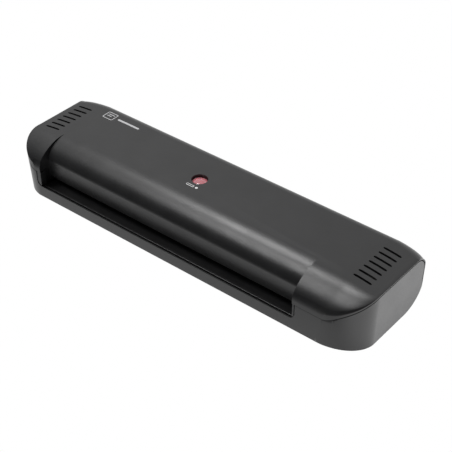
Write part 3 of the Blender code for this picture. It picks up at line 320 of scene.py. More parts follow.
def u_outline(left, right, bottom, r, top):
    """A U with round lower corners, as (z, x) points."""
    return ([(top, left), (bottom + r, left)]
            + ellipse(bottom + r, left + r, r, r, 270, 180, U_N)[1:]
            + ellipse(bottom + r, right - r, r, r, 180, 90, U_N) + [(top, right)])


# ---------------------------------------------------------------- casing outlines
def back_at(x):
    """The back face near the ends follows the plan outline, and its top radius grows."""
    past = abs(x) - (HALF_L - BACK_RUN)
    s = min(max(past / BACK_A, 0.0), BACK_RUN / BACK_A)
    grown = min(max(past / BACK_RUN, 0.0), 1.0)
    return Back(Y_BACK - BACK_B * (1 - math.sqrt(1 - s * s)),
                BACK_TOP_R + (END_TOP_R - BACK_TOP_R) * grown)


def plan_half(inset, corner, share):
    """Right half of the plan, from front to back; share is 0 at the bottom and 1 at the top."""
    fx, fy = corner[0] - CORNER_TIGHTEN * share - inset, corner[1] - inset
    x, y_front, y_back = HALF_L - inset, Y_FRONT + inset, Y_BACK - inset
    run = BACK_RUN - inset
    s = run / BACK_A
    corner_y = y_back - BACK_B * (1 - math.sqrt(1 - s * s))
    arc_start = math.degrees(math.acos(s - BACK_ARC / BACK_A))
    back = ellipse(x - run, y_back - BACK_B, BACK_A, BACK_B, arc_start, 90, BACK_N)
    points = (ellipse(x - fx, y_front + fy, fx, fy, -90, 0, CORNER_N)
              + quadratic((x, corner_y - BACK_ARC), (x, corner_y), back[0], 2 * FINE)[:-1] + back)
    draft = 1 + END_DRAFT / HALF_L * share
    return [(a * draft, b) for a, b in points]


def plan_outline(inset, share):
    right = plan_half(inset, RIGHT_CORNER, share)
    left = plan_half(inset, LEFT_CORNER, share)
    return right + [(-a, b) for a, b in reversed(left)]


def between(low, high, z):
    """The plan point at height z, from its places at the bottom and the top."""
    t = (z - Z_BOT) / HEIGHT
    return low[0] + (high[0] - low[0]) * t, low[1] + (high[1] - low[1]) * t


def plan_prism(inset, lo=BELOW, hi=ABOVE):
    low, high = plan_outline(inset, 0.0), plan_outline(inset, 1.0)
    past = 3.0                           # the even levels start and end this far past the casing
    levels = [Z_BOT - past + (HEIGHT + 2 * past) * k / PLAN_LEVELS
              for k in range(PLAN_LEVELS + 1)]
    return rings_to_solid([[(*between(a, b, z), z) for a, b in zip(low, high)]
                           for z in [lo, *levels, hi]])


def roll_curve(n=ROLL_N):
    lean = math.radians(CREASE_LEAN)
    return cubic((ROLL_Y, Z_TOP), (ROLL_Y - ROLL_HANDLE_TOP, Z_TOP),
                 (Y_FRONT + math.sin(lean) * ROLL_HANDLE_LOW,
                  CREASE_Z + math.cos(lean) * ROLL_HANDLE_LOW),
                 (Y_FRONT, CREASE_Z), n)


def front_roll():
    """The rolled front from the top down, eased into the upright below its crease."""
    ease_above, ease_below, ease_lean = 2.6, 3.4, 24.0
    main = roll_curve()
    while main[-1][1] < CREASE_Z + ease_above:
        main.pop()
    start = main.pop()
    corner_z = start[1] - (start[0] - Y_FRONT) / math.tan(math.radians(ease_lean))
    return main + quadratic(start, (Y_FRONT, corner_z), (Y_FRONT, CREASE_Z - ease_below), 4 * FINE)


def back_round(back, offset=0.0):
    r = back.radius - offset
    return ellipse(back.y - offset - r, Z_TOP - offset - r, r, r, 90, 0, ROUND_N)


def undercut(back, offset=0.0):
    return ellipse(back.y - UNDERCUT_Y, Z_BOT + UNDERCUT_Z,
                   UNDERCUT_Y - offset, UNDERCUT_Z - offset, 0, -90, ROUND_N)


def side_outline(back):
    return (front_roll()[::-1] + back_round(back) + undercut(back)
            + [(Y_FRONT + 0.35, Z_BOT), (Y_FRONT + 0.1, Z_BOT + 0.1), (Y_FRONT, Z_BOT + 0.35)])


def joint_line(back, drop):
    """The joint from front to back; it runs just under the roll and the rounded back."""
    points = [(-FAR, PART_FRONT_Z - drop), (Y_FRONT - 0.01, PART_FRONT_Z - drop)]
    plunge = CREASE_Z - PART_FRONT_Z - RIM - JOINT_DIP
    for y, z in reversed(roll_curve()[:-1]):
        s = (ROLL_Y - y) / (ROLL_Y - Y_FRONT)
        points.append((y, z - RIM - JOINT_DIP * s ** 1.5 - plunge * s ** 12 - drop))
    points += back_round(back, RIM + drop)
    return points + [(back.y - RIM - drop, PART_BACK_Z - drop), (FAR, PART_BACK_Z - drop)]


def loft_x(outline, reach=200.0):
    """A side outline carried along X; outline(back) gives its (y, z) points at a station."""
    run = [HALF_L - BACK_RUN + BACK_RUN * math.sin(math.pi / 2 * i / BACK_N)
           for i in range(BACK_N + 1)]
    stations = [-reach] + [-x for x in reversed(run)] + run + [reach]
    return rings_to_solid([[(x, y, z) for y, z in outline(back_at(x))] for x in stations])


def roll_height(roll, y):
    for (ya, za), (yb, zb) in zip(roll, roll[1:]):
        if yb <= y <= ya:
            return za + (zb - za) * (ya - y) / (ya - yb)
    return Z_TOP if y > ROLL_Y else CREASE_Z


def swept_roll():
    """The rolled front carried round the plan.

    At the right corner it narrows and flattens towards the end, half mixed with the straight
    roll; the left corner keeps the straight roll.
    """
    roll = roll_curve(SWEEP_ROLL_N)
    low, high = plan_outline(0.0, 0.0), plan_outline(0.0, 1.0)
    deep, wide = Z_TOP - CREASE_Z, ROLL_Y - Y_FRONT
    flattest = 0.42
    shape = []                           # per plan point: travel x, y, roll height, straight share
    for i, (x, y) in enumerate(low):
        ax, ay = low[i - 1]
        bx, by = low[(i + 1) % len(low)]
        length = math.hypot(bx - ax, by - ay)
        inward_x, inward_y = -(by - ay) / length, (bx - ax) / length
        h = deep if y <= ON_FRONT else max(Z_TOP - roll_height(roll, y), flattest)
        w = wide * (h / deep) ** SWEEP_POWER
        straight = ROLL_Y - y
        share = 0.0
        corner_start = HALF_L - (RIGHT_CORNER[0] if x > 0 else LEFT_CORNER[0])
        if y > 0.0:
            dx, dy = w * inward_x, w * inward_y
        elif h >= deep - 1e-6:
            dx, dy = 0.0, wide
        else:
            limit = 0.6 * max(abs(x) - corner_start, 0.0)
            dx = math.copysign(min(abs(w * inward_x), limit), inward_x)
            dy = w * inward_y
        if x < 0.0 and y < CORNER_END_Y:
            dx, dy, h = 0.0, straight, deep
            share = 1.0 if y > ON_FRONT else 0.0
        elif x > 0.0 and ON_FRONT < y < CORNER_END_Y:
            dx, dy = dx * (1 - SWEEP_MIX), dy + (straight - dy) * SWEEP_MIX
            share = SWEEP_MIX
        shape.append((dx, dy, h, share))
    rings = [[(*between(a, b, BELOW), BELOW) for a, b in zip(low, high)]]
    for roll_y, roll_z in reversed(front_roll()):
        u, v = (roll_y - Y_FRONT) / wide, (Z_TOP - roll_z) / deep
        ring = []
        for a, b, (dx, dy, h, share) in zip(low, high, shape):
            z = Z_TOP - v * h
            if share:
                z += (roll_height(roll, a[1] + (ROLL_Y - a[1]) * u) - z) * share
            x, y = between(a, b, z)
            ring.append((x + dx * u, y + dy * u, z))
        rings.append(ring)
    return rings_to_solid(rings)


# ---------------------------------------------------------------- cover
def cover_cap():
    """The solid outer form of the cover above the joint."""
    lift = 0.004                         # keeps the loft's top clear of the swept roll's

    def outline(back):
        top = [(y, z + lift) for y, z in back_round(back)]
        return [(-60.0, Z_TOP + lift)] + top + [(back.y + 0.001, 5.0), (-60.0, 5.0)]
    above = loft_x(lambda back: joint_line(back, 0.0) + [(FAR, FAR), (-FAR, FAR)])
    return keep(keep(loft_x(outline), swept_roll()), above)


def cover_lining():
    """The hollow inner wall, inset from the cap and running down into the base."""
    front_in, back_in, rise, reach = 0.6, 0.5, 0.3, 190
    front_z, back_z = PART_FRONT_Z + rise, PART_BACK_Z + rise
    outer = offset_path(front_roll(), -front_in)[::-1]
    inner = [(max(y, Y_FRONT + WALL), z) for y, z in offset_path(front_roll(), -WALL)[::-1]]
    lining = keep(loft_x(lambda back: (
        [(Y_FRONT + front_in, front_z)] + outer + back_round(back, back_in)
        + [(back.y - back_in, back_z), (0.0, back_z), (-1.0, front_z)]), reach),
        plan_prism(LIP_INSET))
    hollow = keep(loft_x(lambda back: (
        [(Y_FRONT + WALL, 5.0)] + inner + back_round(back, WALL) + [(back.y - WALL, 5.0)]), reach),
        plan_prism(LIP_INSET + LIP_T))
    # clear the two back corners
    return cut(cut(lining, hollow), box((149.9, 30.0, 0.0), (190.0, 60.0, 38.4)),
               box((-190.0, 30.0, 0.0), (-149.9, 60.0, 38.4)))


def add_hood(cover):
    """Two cheeks and the hood between them, then the recess they enclose."""
    roll_in = offset_path(front_roll(), -ROLL_INSET)
    front_y, low_z = HOOD_FRONT_Y - 1.8, PART_FRONT_Z + 0.1
    cheek = ([(-26.8, CHEEK_LOW_Z), (-26.8, 36.0), (-24.5, 40.0), (-24.5, 43.4)]
             + [(y, z) for y, z in roll_in if y < -25.5]
             + [(Y_FRONT + ROLL_INSET, low_z), (front_y, low_z), (front_y, CHEEK_LOW_Z)])
    left = prism("X", [cheek], RECESS_L - WALL, RECESS_L + 0.9)
    right = prism("X", [cheek], RECESS_R - 0.9, RECESS_R + WALL)
    outer = cubic((HOOD_TOP_Y, Z_TOP), (HOOD_TOP_Y - 13.0, Z_TOP),
                  (HOOD_FRONT_Y + 0.1, HOOD_TOP_Z + 4.6), (HOOD_FRONT_Y, HOOD_TOP_Z - 1.4),
                  ROLL_N) + [(HOOD_LOW_Y, HOOD_LOW_Z)]
    inner = offset_path(outer, -WALL)
    front_y, root_y = HOOD_FRONT_Y - 1.4, HOOD_TOP_Y + 4.0
    crown = [(y, z) for y, z in roll_in if front_y < y < HOOD_TOP_Y]
    strip = ([(root_y, Z_TOP - 0.6)] + crown
             + [(front_y, crown[-1][1] - 0.6), (front_y, HOOD_LOW_Z + 0.02),
                (inner[-1][0], HOOD_LOW_Z + 0.02)]
             + inner[1:-1][::-1] + [(root_y, Z_TOP - 1.9)])
    hood = prism("X", [strip], RECESS_L - 1.3, RECESS_R + 1.3)
    recess = prism("X", [[(-FAR, BELOW), (-FAR, FAR), (HOOD_TOP_Y, FAR)] + outer
                         + [(HOOD_LOW_Y, BELOW)]], RECESS_L, RECESS_R)
    return cut(join(cover, left, right, hood), recess)


def vent_outline(x0, x1, y):
    """A slightly bent slot with eased ends; its outer end lies nearer the front."""
    rear, front, n = [], [], 10
    for i in range(n + 1):
        t = i / n
        x = x0 + (x1 - x0) * t
        u = t if x0 > 0 else 1 - t       # 0 at the inner end, 1 at the outer end
        middle = y + VENT_SKEW * 0.5 - VENT_SKEW * (0.55 * u + 0.45 * u * u)
        half = VENT_W / 2 * min(1.0, 0.55 + 7.0 * min(t, 1 - t))
        rear.append((x, middle + half))
        front.append((x, middle - half))
    return front + rear[::-1]


def build_cover():
    back_fill = box((-149.4, Y_BACK - 3.6, PART_BACK_Z + 0.3), (149.4, Y_BACK - 1.3, 36.0))
    cover = add_hood(join(cover_cap(), cover_lining(), back_fill))
    posts, holes = [], []
    post_top = Z_TOP - 1.2
    for at in SCREWS:
        posts.append(cylinder(at, SCREW_SPLIT_Z + SCREW_SPLIT_GAP, post_top, 3.6))
        holes.append(cylinder(at, SCREW_SPLIT_Z - 2, 26.0, 1.25))
    for dx in (-WINDOW_POST_DX, WINDOW_POST_DX):
        at = (WINDOW[0] + dx, WINDOW[1])
        posts.append(cylinder(at, 35.2, post_top, 1.8))
        holes.append(cylinder(at, 30.0, 41.0, 0.8))
    cover = join(cover, *posts)
    for x0, x1 in VENTS_X:
        for k in range(VENT_N):
            y = VENT_Y0 + (k - (VENT_N - 1) / 2) * VENT_PITCH
            holes.append(prism("Z", [vent_outline(x0, x1, y)], Z_TOP - 8, Z_TOP + 5))
    holes.append(cylinder(WINDOW, Z_TOP - 6, Z_TOP + 4, WINDOW_R, 96))
    holes.append(back_box(*EXIT_X, 10, EXIT_Z[1]))
    for x, z, half_x, half_z in BACK_SOCKETS:
        holes.append(back_box(x - half_x, x + half_x, z - half_z, z + half_z))
    return cut(cover, *holes)


# ---------------------------------------------------------------- base and tray
def build_base():
    below = loft_x(lambda back: joint_line(back, SEAM) + [(FAR, BELOW), (-FAR, BELOW)])
    body = keep(loft_x(side_outline), plan_prism(0.0))
    inside = keep(loft_x(lambda back: (
        [(Y_FRONT + WALL, FAR), (Y_FRONT + WALL, Z_BOT + WALL)]
        + undercut(back, WALL)[::-1] + [(back.y - WALL, FAR)]), 190),
        plan_prism(WALL, hi=80))
    base = cut(keep(body, below), inside)
    notch = u_outline(NOTCH_L, NOTCH_R, LIP_Z, 5.0, LIP_Z + 40)
    notch_end_y = Y_FRONT + 12.0
    base = cut(
        base,
        prism("Y", [notch], Y_FRONT - 5, notch_end_y),
        back_box(*EXIT_X, EXIT_Z[0], 40, depth=12),
        # a rebate behind the notch's edge takes the tray
        prism("Y", [[(z - 3.9, x) for z, x in notch]], Y_FRONT + LIP_T_FRONT, notch_end_y),
        back_box(-150.2, 150.2, PART_BACK_Z - SEAM, ABOVE, depth=8))
    bosses, holes = [], []
    for at in SCREWS:
        bosses.append(cylinder(at, Z_BOT + WALL - 1.0, SCREW_SPLIT_Z - SCREW_SPLIT_GAP, 4.2))
        holes.append(cylinder(at, 0.0, 20.0, 1.75))
        holes.append(cylinder(at, -0.5, 9.0, 3.2))
    for at in FEET:
        holes.append(cylinder(at, -0.5, Z_BOT + 0.7, FOOT_R + 0.2, 48))
    return cut(join(base, *bosses), *holes)


def build_tray():
    ramp_z = NIP_Z + PATH_SLOPE * (RAMP_END_Y - ROLL_C_Y) - 0.6
    rim_y, rim_r = TRAY_RIM_Y, 0.5
    floor_yz = [(rim_y, TRAY_Z - TRAY_T), (TRAY_BEND_Y, TRAY_Z - TRAY_T),
                (RAMP_END_Y, ramp_z - TRAY_T), (RAMP_END_Y, ramp_z),
                (TRAY_BEND_Y, TRAY_Z), (rim_y + 1.0, TRAY_Z)]
    floor_yz += ellipse(rim_y + rim_r, LIP_Z - 0.75, rim_r, rim_r, 0, 180, 8)
    tray = prism("X", [floor_yz], TRAY_L - 2.0, TRAY_R + 2.0)
    side_low, side_y = TRAY_Z - 1.3, -37.6
    side = [(-50.0, LIP_Z + 0.6), (rim_y, LIP_Z + 0.6), (rim_y, side_low), (side_y, side_low),
            (side_y, TRAY_UP_Z), (-50.0, TRAY_UP_Z)]
    tray = join(tray, prism("X", [side], TRAY_L - 3.0, RECESS_L),
                prism("X", [side], RECESS_R + 0.2, TRAY_R + 3.0))
    end_u = u_outline(TRAY_L, TRAY_R, TRAY_Z - 1.7, 4.4, ABOVE)
    tray = keep(tray, plan_prism(0.35, lo=0), prism("Y", [end_u], -60, 0))
    # clear both ends behind the uprights
    tray = cut(tray, box((-150, -37.0, 0), (-138.3, 0, ABOVE)),
               box((109.6, -37.0, 0), (150, 0, ABOVE)))
    # trim the front to the notch's shape
    clear = u_outline(NOTCH_L + 0.5, NOTCH_R - 0.5, LIP_Z + 0.5, 4.6, ABOVE)
    skirt = cut(box((-150.0, -55.0, 2.0), (150.0, rim_y - 0.2, 22.0)),
                prism("Y", [clear], -70.0, -30.0))
    tray = cut(tray, skirt)
    return cut(tray, *[box((x - 0.25, -33.0, TRAY_Z - 0.3), (x + 0.25, -31.2, TRAY_Z + 1.0))
                       for x in TICKS_X])


# ---------------------------------------------------------------- finishing
def weigh_edges(mesh, soft, angle):
    """Bevel weights: soft on sharp edges, up to 1 where the cover's top meets its outer rim."""
    bm = bmesh.new()
    bm.from_mesh(mesh)
    layer = bm.edges.layers.float.new("bevel_weight_edge")
    for e in bm.edges:
        if len(e.link_faces) != 2:
            continue
        wall, top = sorted(e.link_faces, key=lambda f: abs(f.normal.z))
        turn = math.degrees(wall.normal.angle(top.normal, 0.0))
        if turn > angle:
            e[layer] = soft if e.is_convex else soft * 0.6
        c = (e.verts[0].co + e.verts[1].co) / 2 / MM
        outside = c.x > RECESS_R + 3.0 or c.x < RECESS_L - 3.0
        far = abs(c.x) > 160.5 or c.y < -18.6
        upright, upward = abs(wall.normal.z) < 0.12, top.normal.z > 0.1
        if outside and far and upright and upward and turn > 9.0 and e.is_convex:
            e[layer] = max(e[layer], min((turn - 9.0) / 30.0, 1.0))
    bm.to_mesh(mesh)
    bm.free()


def bevelled_mesh(o, bevel, rim):
    """The object's mesh with softened edges; rim is the wider bevel of weighted edges."""
    angle = 32.0
    m = o.modifiers.new("edges", "BEVEL")
    if rim:
        weigh_edges(o.data, bevel / rim, angle)
        m.limit_method = "WEIGHT"
        m.width = rim * MM
        m.segments = 4
    else:
        m.limit_method = "ANGLE"
        m.angle_limit = math.radians(angle)
        m.width = bevel * MM
        m.segments = 2
    mesh = evaluated_mesh(o)
    o.modifiers.clear()
    return mesh


def dress(o, name, look, replaced=(), bevel=0.0, rim=0.0):
    """Makes a built shape a shown piece of the chassis."""
    o.name = name
    o.data.name = name
    bm = bmesh.new()
    bm.from_mesh(o.data)
    bmesh.ops.remove_doubles(bm, verts=bm.verts, dist=4e-6)
    bmesh.ops.dissolve_degenerate(bm, edges=bm.edges, dist=4e-6)
    bmesh.ops.dissolve_limit(bm, angle_limit=math.radians(0.03), use_dissolve_boundaries=False,
                             verts=bm.verts, edges=bm.edges)
    bm.to_mesh(o.data)
    bm.free()
    o.data.materials.append(LOOKS[look])
    o.data.shade_smooth()
    if bevel:
        o.data = bevelled_mesh(o, bevel, rim)
        o.data.name = name
    o.data.set_sharp_from_angle(angle=math.radians(38))
    normals = o.modifiers.new("normals", "WEIGHTED_NORMAL")
    normals.keep_sharp = True
    normals.weight = 80
    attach(o, "chassis")
    if replaced:
        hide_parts(*replaced)


# ---------------------------------------------------------------- shader helpers
def feed(nt, socket, value):
    """Links the value if it is a socket, otherwise sets it."""
    if isinstance(value, bpy.types.NodeSocket):
        nt.links.new(value, socket)
    else:
        socket.default_value = value


def node(nt, kind, at, *inputs, **values):
    """A node; inputs fill its sockets in order, values its named sockets or its settings."""
    n = nt.nodes.new(kind)
    n.location = at
    for key, value in values.items():
        if key in n.inputs:
            feed(nt, n.inputs[key], value)
        else:
            setattr(n, key, value)
    for socket, value in zip(n.inputs, inputs):
        feed(nt, socket, value)
    return n


def noise(nt, coords, size_mm, detail, rough, at, stretch=None):
    source = coords.outputs["Object"]
    if stretch:
        source = node(nt, "ShaderNodeMapping", (at[0] - 200, at[1]),
                      Vector=source, Scale=stretch).outputs["Vector"]
    return node(nt, "ShaderNodeTexNoise", at, Vector=source, Scale=1000.0 / size_mm,
                Detail=detail, Roughness=rough).outputs["Fac"]


def spread(nt, value, low, high, at, start=0.3, end=0.7):
    """Maps start..end onto low..high, clamped."""
    return node(nt, "ShaderNodeMapRange", at, value, start, end, low, high).outputs["Result"]


def calc(nt, operation, at, *inputs):
    return node(nt, "ShaderNodeMath", at, *inputs, operation=operation).outputs[0]


def mix_colors(nt, at, factor, a, b):
    mix = node(nt, "ShaderNodeMix", at, data_type="RGBA")
    for index, value in ((0, factor), (6, a), (7, b)):   # factor and the two colour sockets
        feed(nt, mix.inputs[index], value)
    return mix.outputs[2]


def tinted(color, factor, lift=0.0):
    return [min(c * factor + lift, 1.0) for c in color] + [1.0]


def edge_highlight_mask(nt, mid):
    """1 on edges, broken up by the mid noise; it masks a painted edge highlight and glossier edges.
    """
    bevel = node(nt, "ShaderNodeBevel", (-900, -600), samples=4, Radius=0.35 * MM)
    geometry = node(nt, "ShaderNodeNewGeometry", (-900, -750))
    dot = node(nt, "ShaderNodeVectorMath", (-700, -650), bevel.outputs["Normal"],
               geometry.outputs["Normal"], operation="DOT_PRODUCT")
    on_edge = spread(nt, dot.outputs["Value"], 1.0, 0.0, (-500, -650), start=0.86, end=0.995)
    return calc(nt, "MULTIPLY", (-350, -650), on_edge, spread(nt, mid, 0.35, 1.0, (-500, -800)))


def surface(name, color, rough, metallic, grain, bump, depth, rough_var, color_var,
            blotch=14.0, edge=0.0, edge_rough=0.1, brushed=None, coat=0.0, specular=0.5, ior=1.46):
    """Fine grain in the bump, blotchy roughness and tone, and optional edges that are glossier and
    lighter in colour, a painted edge highlight.
    """
    mat = bpy.data.materials.new(name)
    mat.use_nodes = True
    nt = mat.node_tree
    shader = nt.nodes["Principled BSDF"]
    coords = node(nt, "ShaderNodeTexCoord", (-1300, 0))
    fine = noise(nt, coords, grain, 4.0, 0.6, (-900, -300), brushed)
    broad = noise(nt, coords, blotch, 3.0, 0.5, (-900, 100))
    mid = noise(nt, coords, grain * 5, 2.0, 0.5, (-900, -100), brushed)
    fleck = spread(nt, fine, -0.18, 0.18, (-750, 300))
    mixed = calc(nt, "ADD", (-600, 250), broad, fleck)
    tone = spread(nt, mixed, 0.0, 1.0, (-450, 250), start=0.25, end=0.75)
    color_out = mix_colors(nt, (-300, 200), tone, tinted(color, 1 - color_var),
                           tinted(color, 1 + color_var))
    half = rough_var * 0.6
    rough_out = calc(nt, "ADD", (-450, 0),
                     spread(nt, broad, rough - half, rough + half, (-600, 60)),
                     spread(nt, mid, -rough_var * 0.5, rough_var * 0.5, (-600, -60)))
    relief = node(nt, "ShaderNodeBump", (-250, -300), Strength=bump, Distance=depth * MM,
                  Height=fine)
    if edge:
        edge_mask = edge_highlight_mask(nt, mid)
        # painted edge highlight: the colour is lightened along edges, which are also made less
        # rough
        color_out = mix_colors(nt, (-100, 200), edge_mask, color_out,
                               tinted(color, 1 + edge, lift=0.004 * edge))
        rough_out = calc(nt, "MULTIPLY_ADD", (-250, 0), edge_mask, -edge_rough, rough_out)
    for socket, value in {
        "Metallic": metallic, "IOR": ior, "Specular IOR Level": specular, "Coat Weight": coat,
        "Coat Roughness": 0.15, "Normal": relief.outputs["Normal"],
        "Base Color": color_out, "Roughness": rough_out,
    }.items():
        feed(nt, shader.inputs[socket], value)
    return mat


def tune(look, **values):
    """Sets Principled inputs of a look; underscores stand for spaces."""
    shader = LOOKS[look].node_tree.nodes["Principled BSDF"]
    for key, value in values.items():
        shader.inputs[key.replace("_", " ")].default_value = value


# ---------------------------------------------------------------- materials
# name, colour, roughness, metallic, grain mm, bump strength, bump depth mm,
# roughness variation, tone variation, further surface() values
SURFACES = (
    ("casing_plastic", (0.0135, 0.0135, 0.0142), 0.33, 0, 0.32, 0.35, 0.022, 0.05, 0.10,
     dict(blotch=18.0, edge=0.5, edge_rough=0.06, ior=1.5)),
    ("tray_plastic", (0.017, 0.017, 0.0175), 0.34, 0, 0.3, 0.35, 0.02, 0.06, 0.12, dict(edge=0.6)),
    ("foot_rubber", (0.02, 0.02, 0.02), 0.75, 0, 0.5, 0.5, 0.05, 0.1, 0.2, dict(specular=0.3)),
    ("screw_zinc", (0.5, 0.51, 0.53), 0.34, 1, 0.25, 0.2, 0.01, 0.12, 0.1, {}),
    ("zinc_sheet", (0.42, 0.44, 0.46), 0.42, 1, 0.6, 0.15, 0.01, 0.16, 0.16, dict(blotch=7.0)),
    ("sintered_bronze", (0.55, 0.38, 0.19), 0.5, 1, 0.18, 0.5, 0.02, 0.12, 0.18, {}),
    ("heating_plate", (0.66, 0.67, 0.69), 0.36, 1, 0.5, 0.25, 0.008, 0.1, 0.06,
     dict(brushed=(0.04, 1.0, 1.0))),
    ("mica_strip", (0.58, 0.5, 0.33), 0.5, 0, 0.8, 0.25, 0.02, 0.14, 0.25, dict(blotch=5.0)),
    ("phenolic", (0.13, 0.085, 0.06), 0.45, 0, 0.3, 0.3, 0.02, 0.08, 0.2, {}),
    ("ceramic", (0.72, 0.69, 0.62), 0.4, 0, 0.35, 0.2, 0.01, 0.1, 0.06, {}),
    ("motor_can", (0.48, 0.49, 0.5), 0.3, 1, 0.4, 0.12, 0.006, 0.1, 0.08, {}),
    ("ground_shaft", (0.55, 0.56, 0.58), 0.22, 1, 0.25, 0.18, 0.004, 0.08, 0.06,
     dict(brushed=(1.0, 0.1, 0.1))),
    ("red_silicone", (0.42, 0.075, 0.045), 0.55, 0, 0.35, 0.35, 0.02, 0.1, 0.15,
     dict(blotch=22.0, ior=1.41)),
    ("acetal", (0.72, 0.7, 0.64), 0.38, 0, 0.3, 0.2, 0.01, 0.08, 0.05, {}),
    ("spring_wire", (0.45, 0.45, 0.47), 0.25, 1, 0.2, 0.1, 0.004, 0.08, 0.1, {}),
    ("circuit_board", (0.035, 0.14, 0.06), 0.32, 0, 1.1, 0.3, 0.03, 0.1, 0.25,
     dict(blotch=3.5, coat=0.3)),
    ("capacitor_sleeve", (0.04, 0.055, 0.15), 0.24, 0, 0.4, 0.1, 0.01, 0.05, 0.12, {}),
    ("black_moulding", (0.026, 0.026, 0.03), 0.42, 0, 0.25, 0.3, 0.015, 0.08, 0.12, {}),
    ("terminal_green", (0.08, 0.26, 0.1), 0.4, 0, 0.3, 0.25, 0.015, 0.08, 0.12, {}),
    ("lead_red", (0.46, 0.04, 0.03), 0.42, 0, 0.4, 0.2, 0.02, 0.08, 0.12, {}),
    ("lead_glass_braid", (0.58, 0.55, 0.48), 0.7, 0, 0.45, 0.8, 0.06, 0.1, 0.18, {}),
    ("lead_black", (0.025, 0.025, 0.025), 0.4, 0, 0.4, 0.2, 0.02, 0.08, 0.12, {}),
    ("rocker_plastic", (0.016, 0.016, 0.017), 0.3, 0, 0.35, 0.2, 0.01, 0.05, 0.1, dict(edge=0.4)),
    ("contact_brass", (0.7, 0.55, 0.3), 0.28, 1, 0.3, 0.1, 0.006, 0.1, 0.1, {}),
    ("pad_print", (0.52, 0.52, 0.53), 0.5, 0, 0.25, 0.2, 0.01, 0.06, 0.06, {}),
    ("pad_print_white", (0.78, 0.78, 0.78), 0.5, 0, 0.25, 0.2, 0.01, 0.06, 0.04, {}),
    ("lens_red", (0.44, 0.15, 0.175), 0.14, 0, 0.5, 0.08, 0.01, 0.05, 0.08, dict(coat=0.5)),
    ("led_epoxy", (0.8, 0.08, 0.06), 0.2, 0, 0.4, 0.05, 0.01, 0.04, 0.05, {}),
)
LOOKS = {name: surface(name, *values, **more) for name, *values, more in SURFACES}
# the lens's faint emission is a painted glow that lightens its red colour
tune("lens_red", Subsurface_Weight=0.35, Subsurface_Radius=(1.0, 0.35, 0.35),
     Subsurface_Scale=0.003, Emission_Color=(1.0, 0.34, 0.38, 1.0), Emission_Strength=0.06)
tune("led_epoxy", Emission_Color=(1.0, 0.12, 0.1, 1.0), Emission_Strength=1.2)

CAD_LOOKS = {
    "zinc_sheet": ("left_side_frame", "right_side_frame", "front_tie_bar", "rear_tie_bar",
                   "heat_shield", "motor_bracket"),
    "sintered_bronze": ("left_lower_bush", "right_lower_bush"),
    "heating_plate": ("lower_heating_plate", "upper_heating_plate", "upper_feed_guide"),
    "mica_strip": ("lower_heating_element", "upper_heating_element"),
    "phenolic": ("thermostat",),
    "ceramic": ("thermal_fuse",),
    "black_moulding": ("exit_guide", "relay", "switch_housing", "mains_inlet"),
    "motor_can": ("gear_motor",),
    "ground_shaft": ("idler_pin", "lower_roller_shaft", "upper_roller_shaft",
                     "motor_output_shaft"),
    "circuit_board": ("control_board", "indicator_board"),
    "capacitor_sleeve": ("capacitor",),
    "terminal_green": ("terminal_block",),
    "led_epoxy": ("indicator_led",),
    "lead_red": ("motor_lead",),
    "lead_glass_braid": ("heater_lead",),
    "lead_black": ("indicator_lead",),
    "red_silicone": ("lower_roller_sleeve", "upper_roller_sleeve"),
    "acetal": ("lower_roller_gear", "upper_roller_gear", "idler_gear", "motor_pinion",
               "left_bearing_block", "right_bearing_block"),
    "spring_wire": ("left_pressure_spring", "right_pressure_spring"),
    "rocker_plastic": ("switch_rocker",),
}
for look, names in CAD_LOOKS.items():
    for name in names:
        if name in NODES:
            slots = NODES[name].data.materials
            slots.clear()
            slots.append(LOOKS[look])

# each spring gets a mesh of its own
for name in CAD_LOOKS["spring_wire"]:
    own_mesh(NODES[name])


# ---------------------------------------------------------------- small pieces
def cad_size(name):
    """Centre x and y, bottom, top and half width of a CAD piece, in mm."""
    lo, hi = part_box(name)
    return ((lo.x + hi.x) / 2 / MM, (lo.y + hi.y) / 2 / MM, lo.z / MM, hi.z / MM,
            (hi.x - lo.x) / 2 / MM)


def build_lens():
    """A thin dome over a tube, in the cover's round window."""
    _, _, bottom, top, _ = cad_size("ready_lens")
    r, rise, sweep, n = WINDOW_R - 0.35, 1.35, math.radians(60), 14
    thick = 0.9
    angles = [sweep * k / n for k in range(n + 1)]
    dome = [(r * math.sin(a) / math.sin(sweep),
             top - 0.15 + rise * (math.cos(a) - 1) / (1 - math.cos(sweep))) for a in angles]
    inner = [(q * 0.86, z - 1.1) for q, z in reversed(dome)]
    profile = dome + [(r, dome[-1][1] - 1.2), (r, bottom), (r - thick, bottom),
                      (r - thick, inner[0][1])] + inner[1:]
    return turned(profile, *WINDOW)


def build_foot(name):
    """A round pad with a shallow dish underneath and a rounded lower edge."""
    x, y, bottom, top, r = cad_size(name)
    edge_z, edge_r, chamfer = 0.45, 0.6, 0.15
    profile = [(0.0, bottom + 0.22), (r * 0.42, bottom + 0.22), (r * 0.5, bottom + 0.1),
               (r * 0.56, bottom)]
    profile += ellipse(r - edge_r, bottom + edge_z, edge_r, edge_z, -90, 0, 6)
    profile += [(r, top - chamfer), (r - chamfer, top), (0.0, top)]
    return turned(profile, x, y, 64)


def build_screw(name):
    """A cross-head screw, head down, with its thread as separate rings."""
    x, y, bottom, top, r = cad_size(name)
    head, round_z, flat = 2.1, 0.9, 0.62     # head height, its rounding, flat share of its radius
    core, crest, pitch = 1.02, 1.22, 0.9
    profile = [(0.0, bottom)]
    profile += ellipse(r * flat, bottom + round_z, r * (1 - flat), round_z, -90, 0, 5)
    profile += [(r, bottom + head), (1.25, bottom + head)]
    z = bottom + head + pitch
    while z < top - 2.2:
        profile += [(core, z), (crest, z + 0.28), (crest, z + 0.36), (core, z + 0.64)]
        z += pitch
    profile += [(core, top - 1.8), (0.25, top), (0.0, top)]
    arm, half = 1.7, 0.42                    # the cross recess
    return cut(turned(profile, x, y, 48), *[
        box((x - dx, y - dy, bottom - 1), (x + dx, y + dy, bottom + 1.25))
        for dx, dy in ((arm, half), (half, arm))])


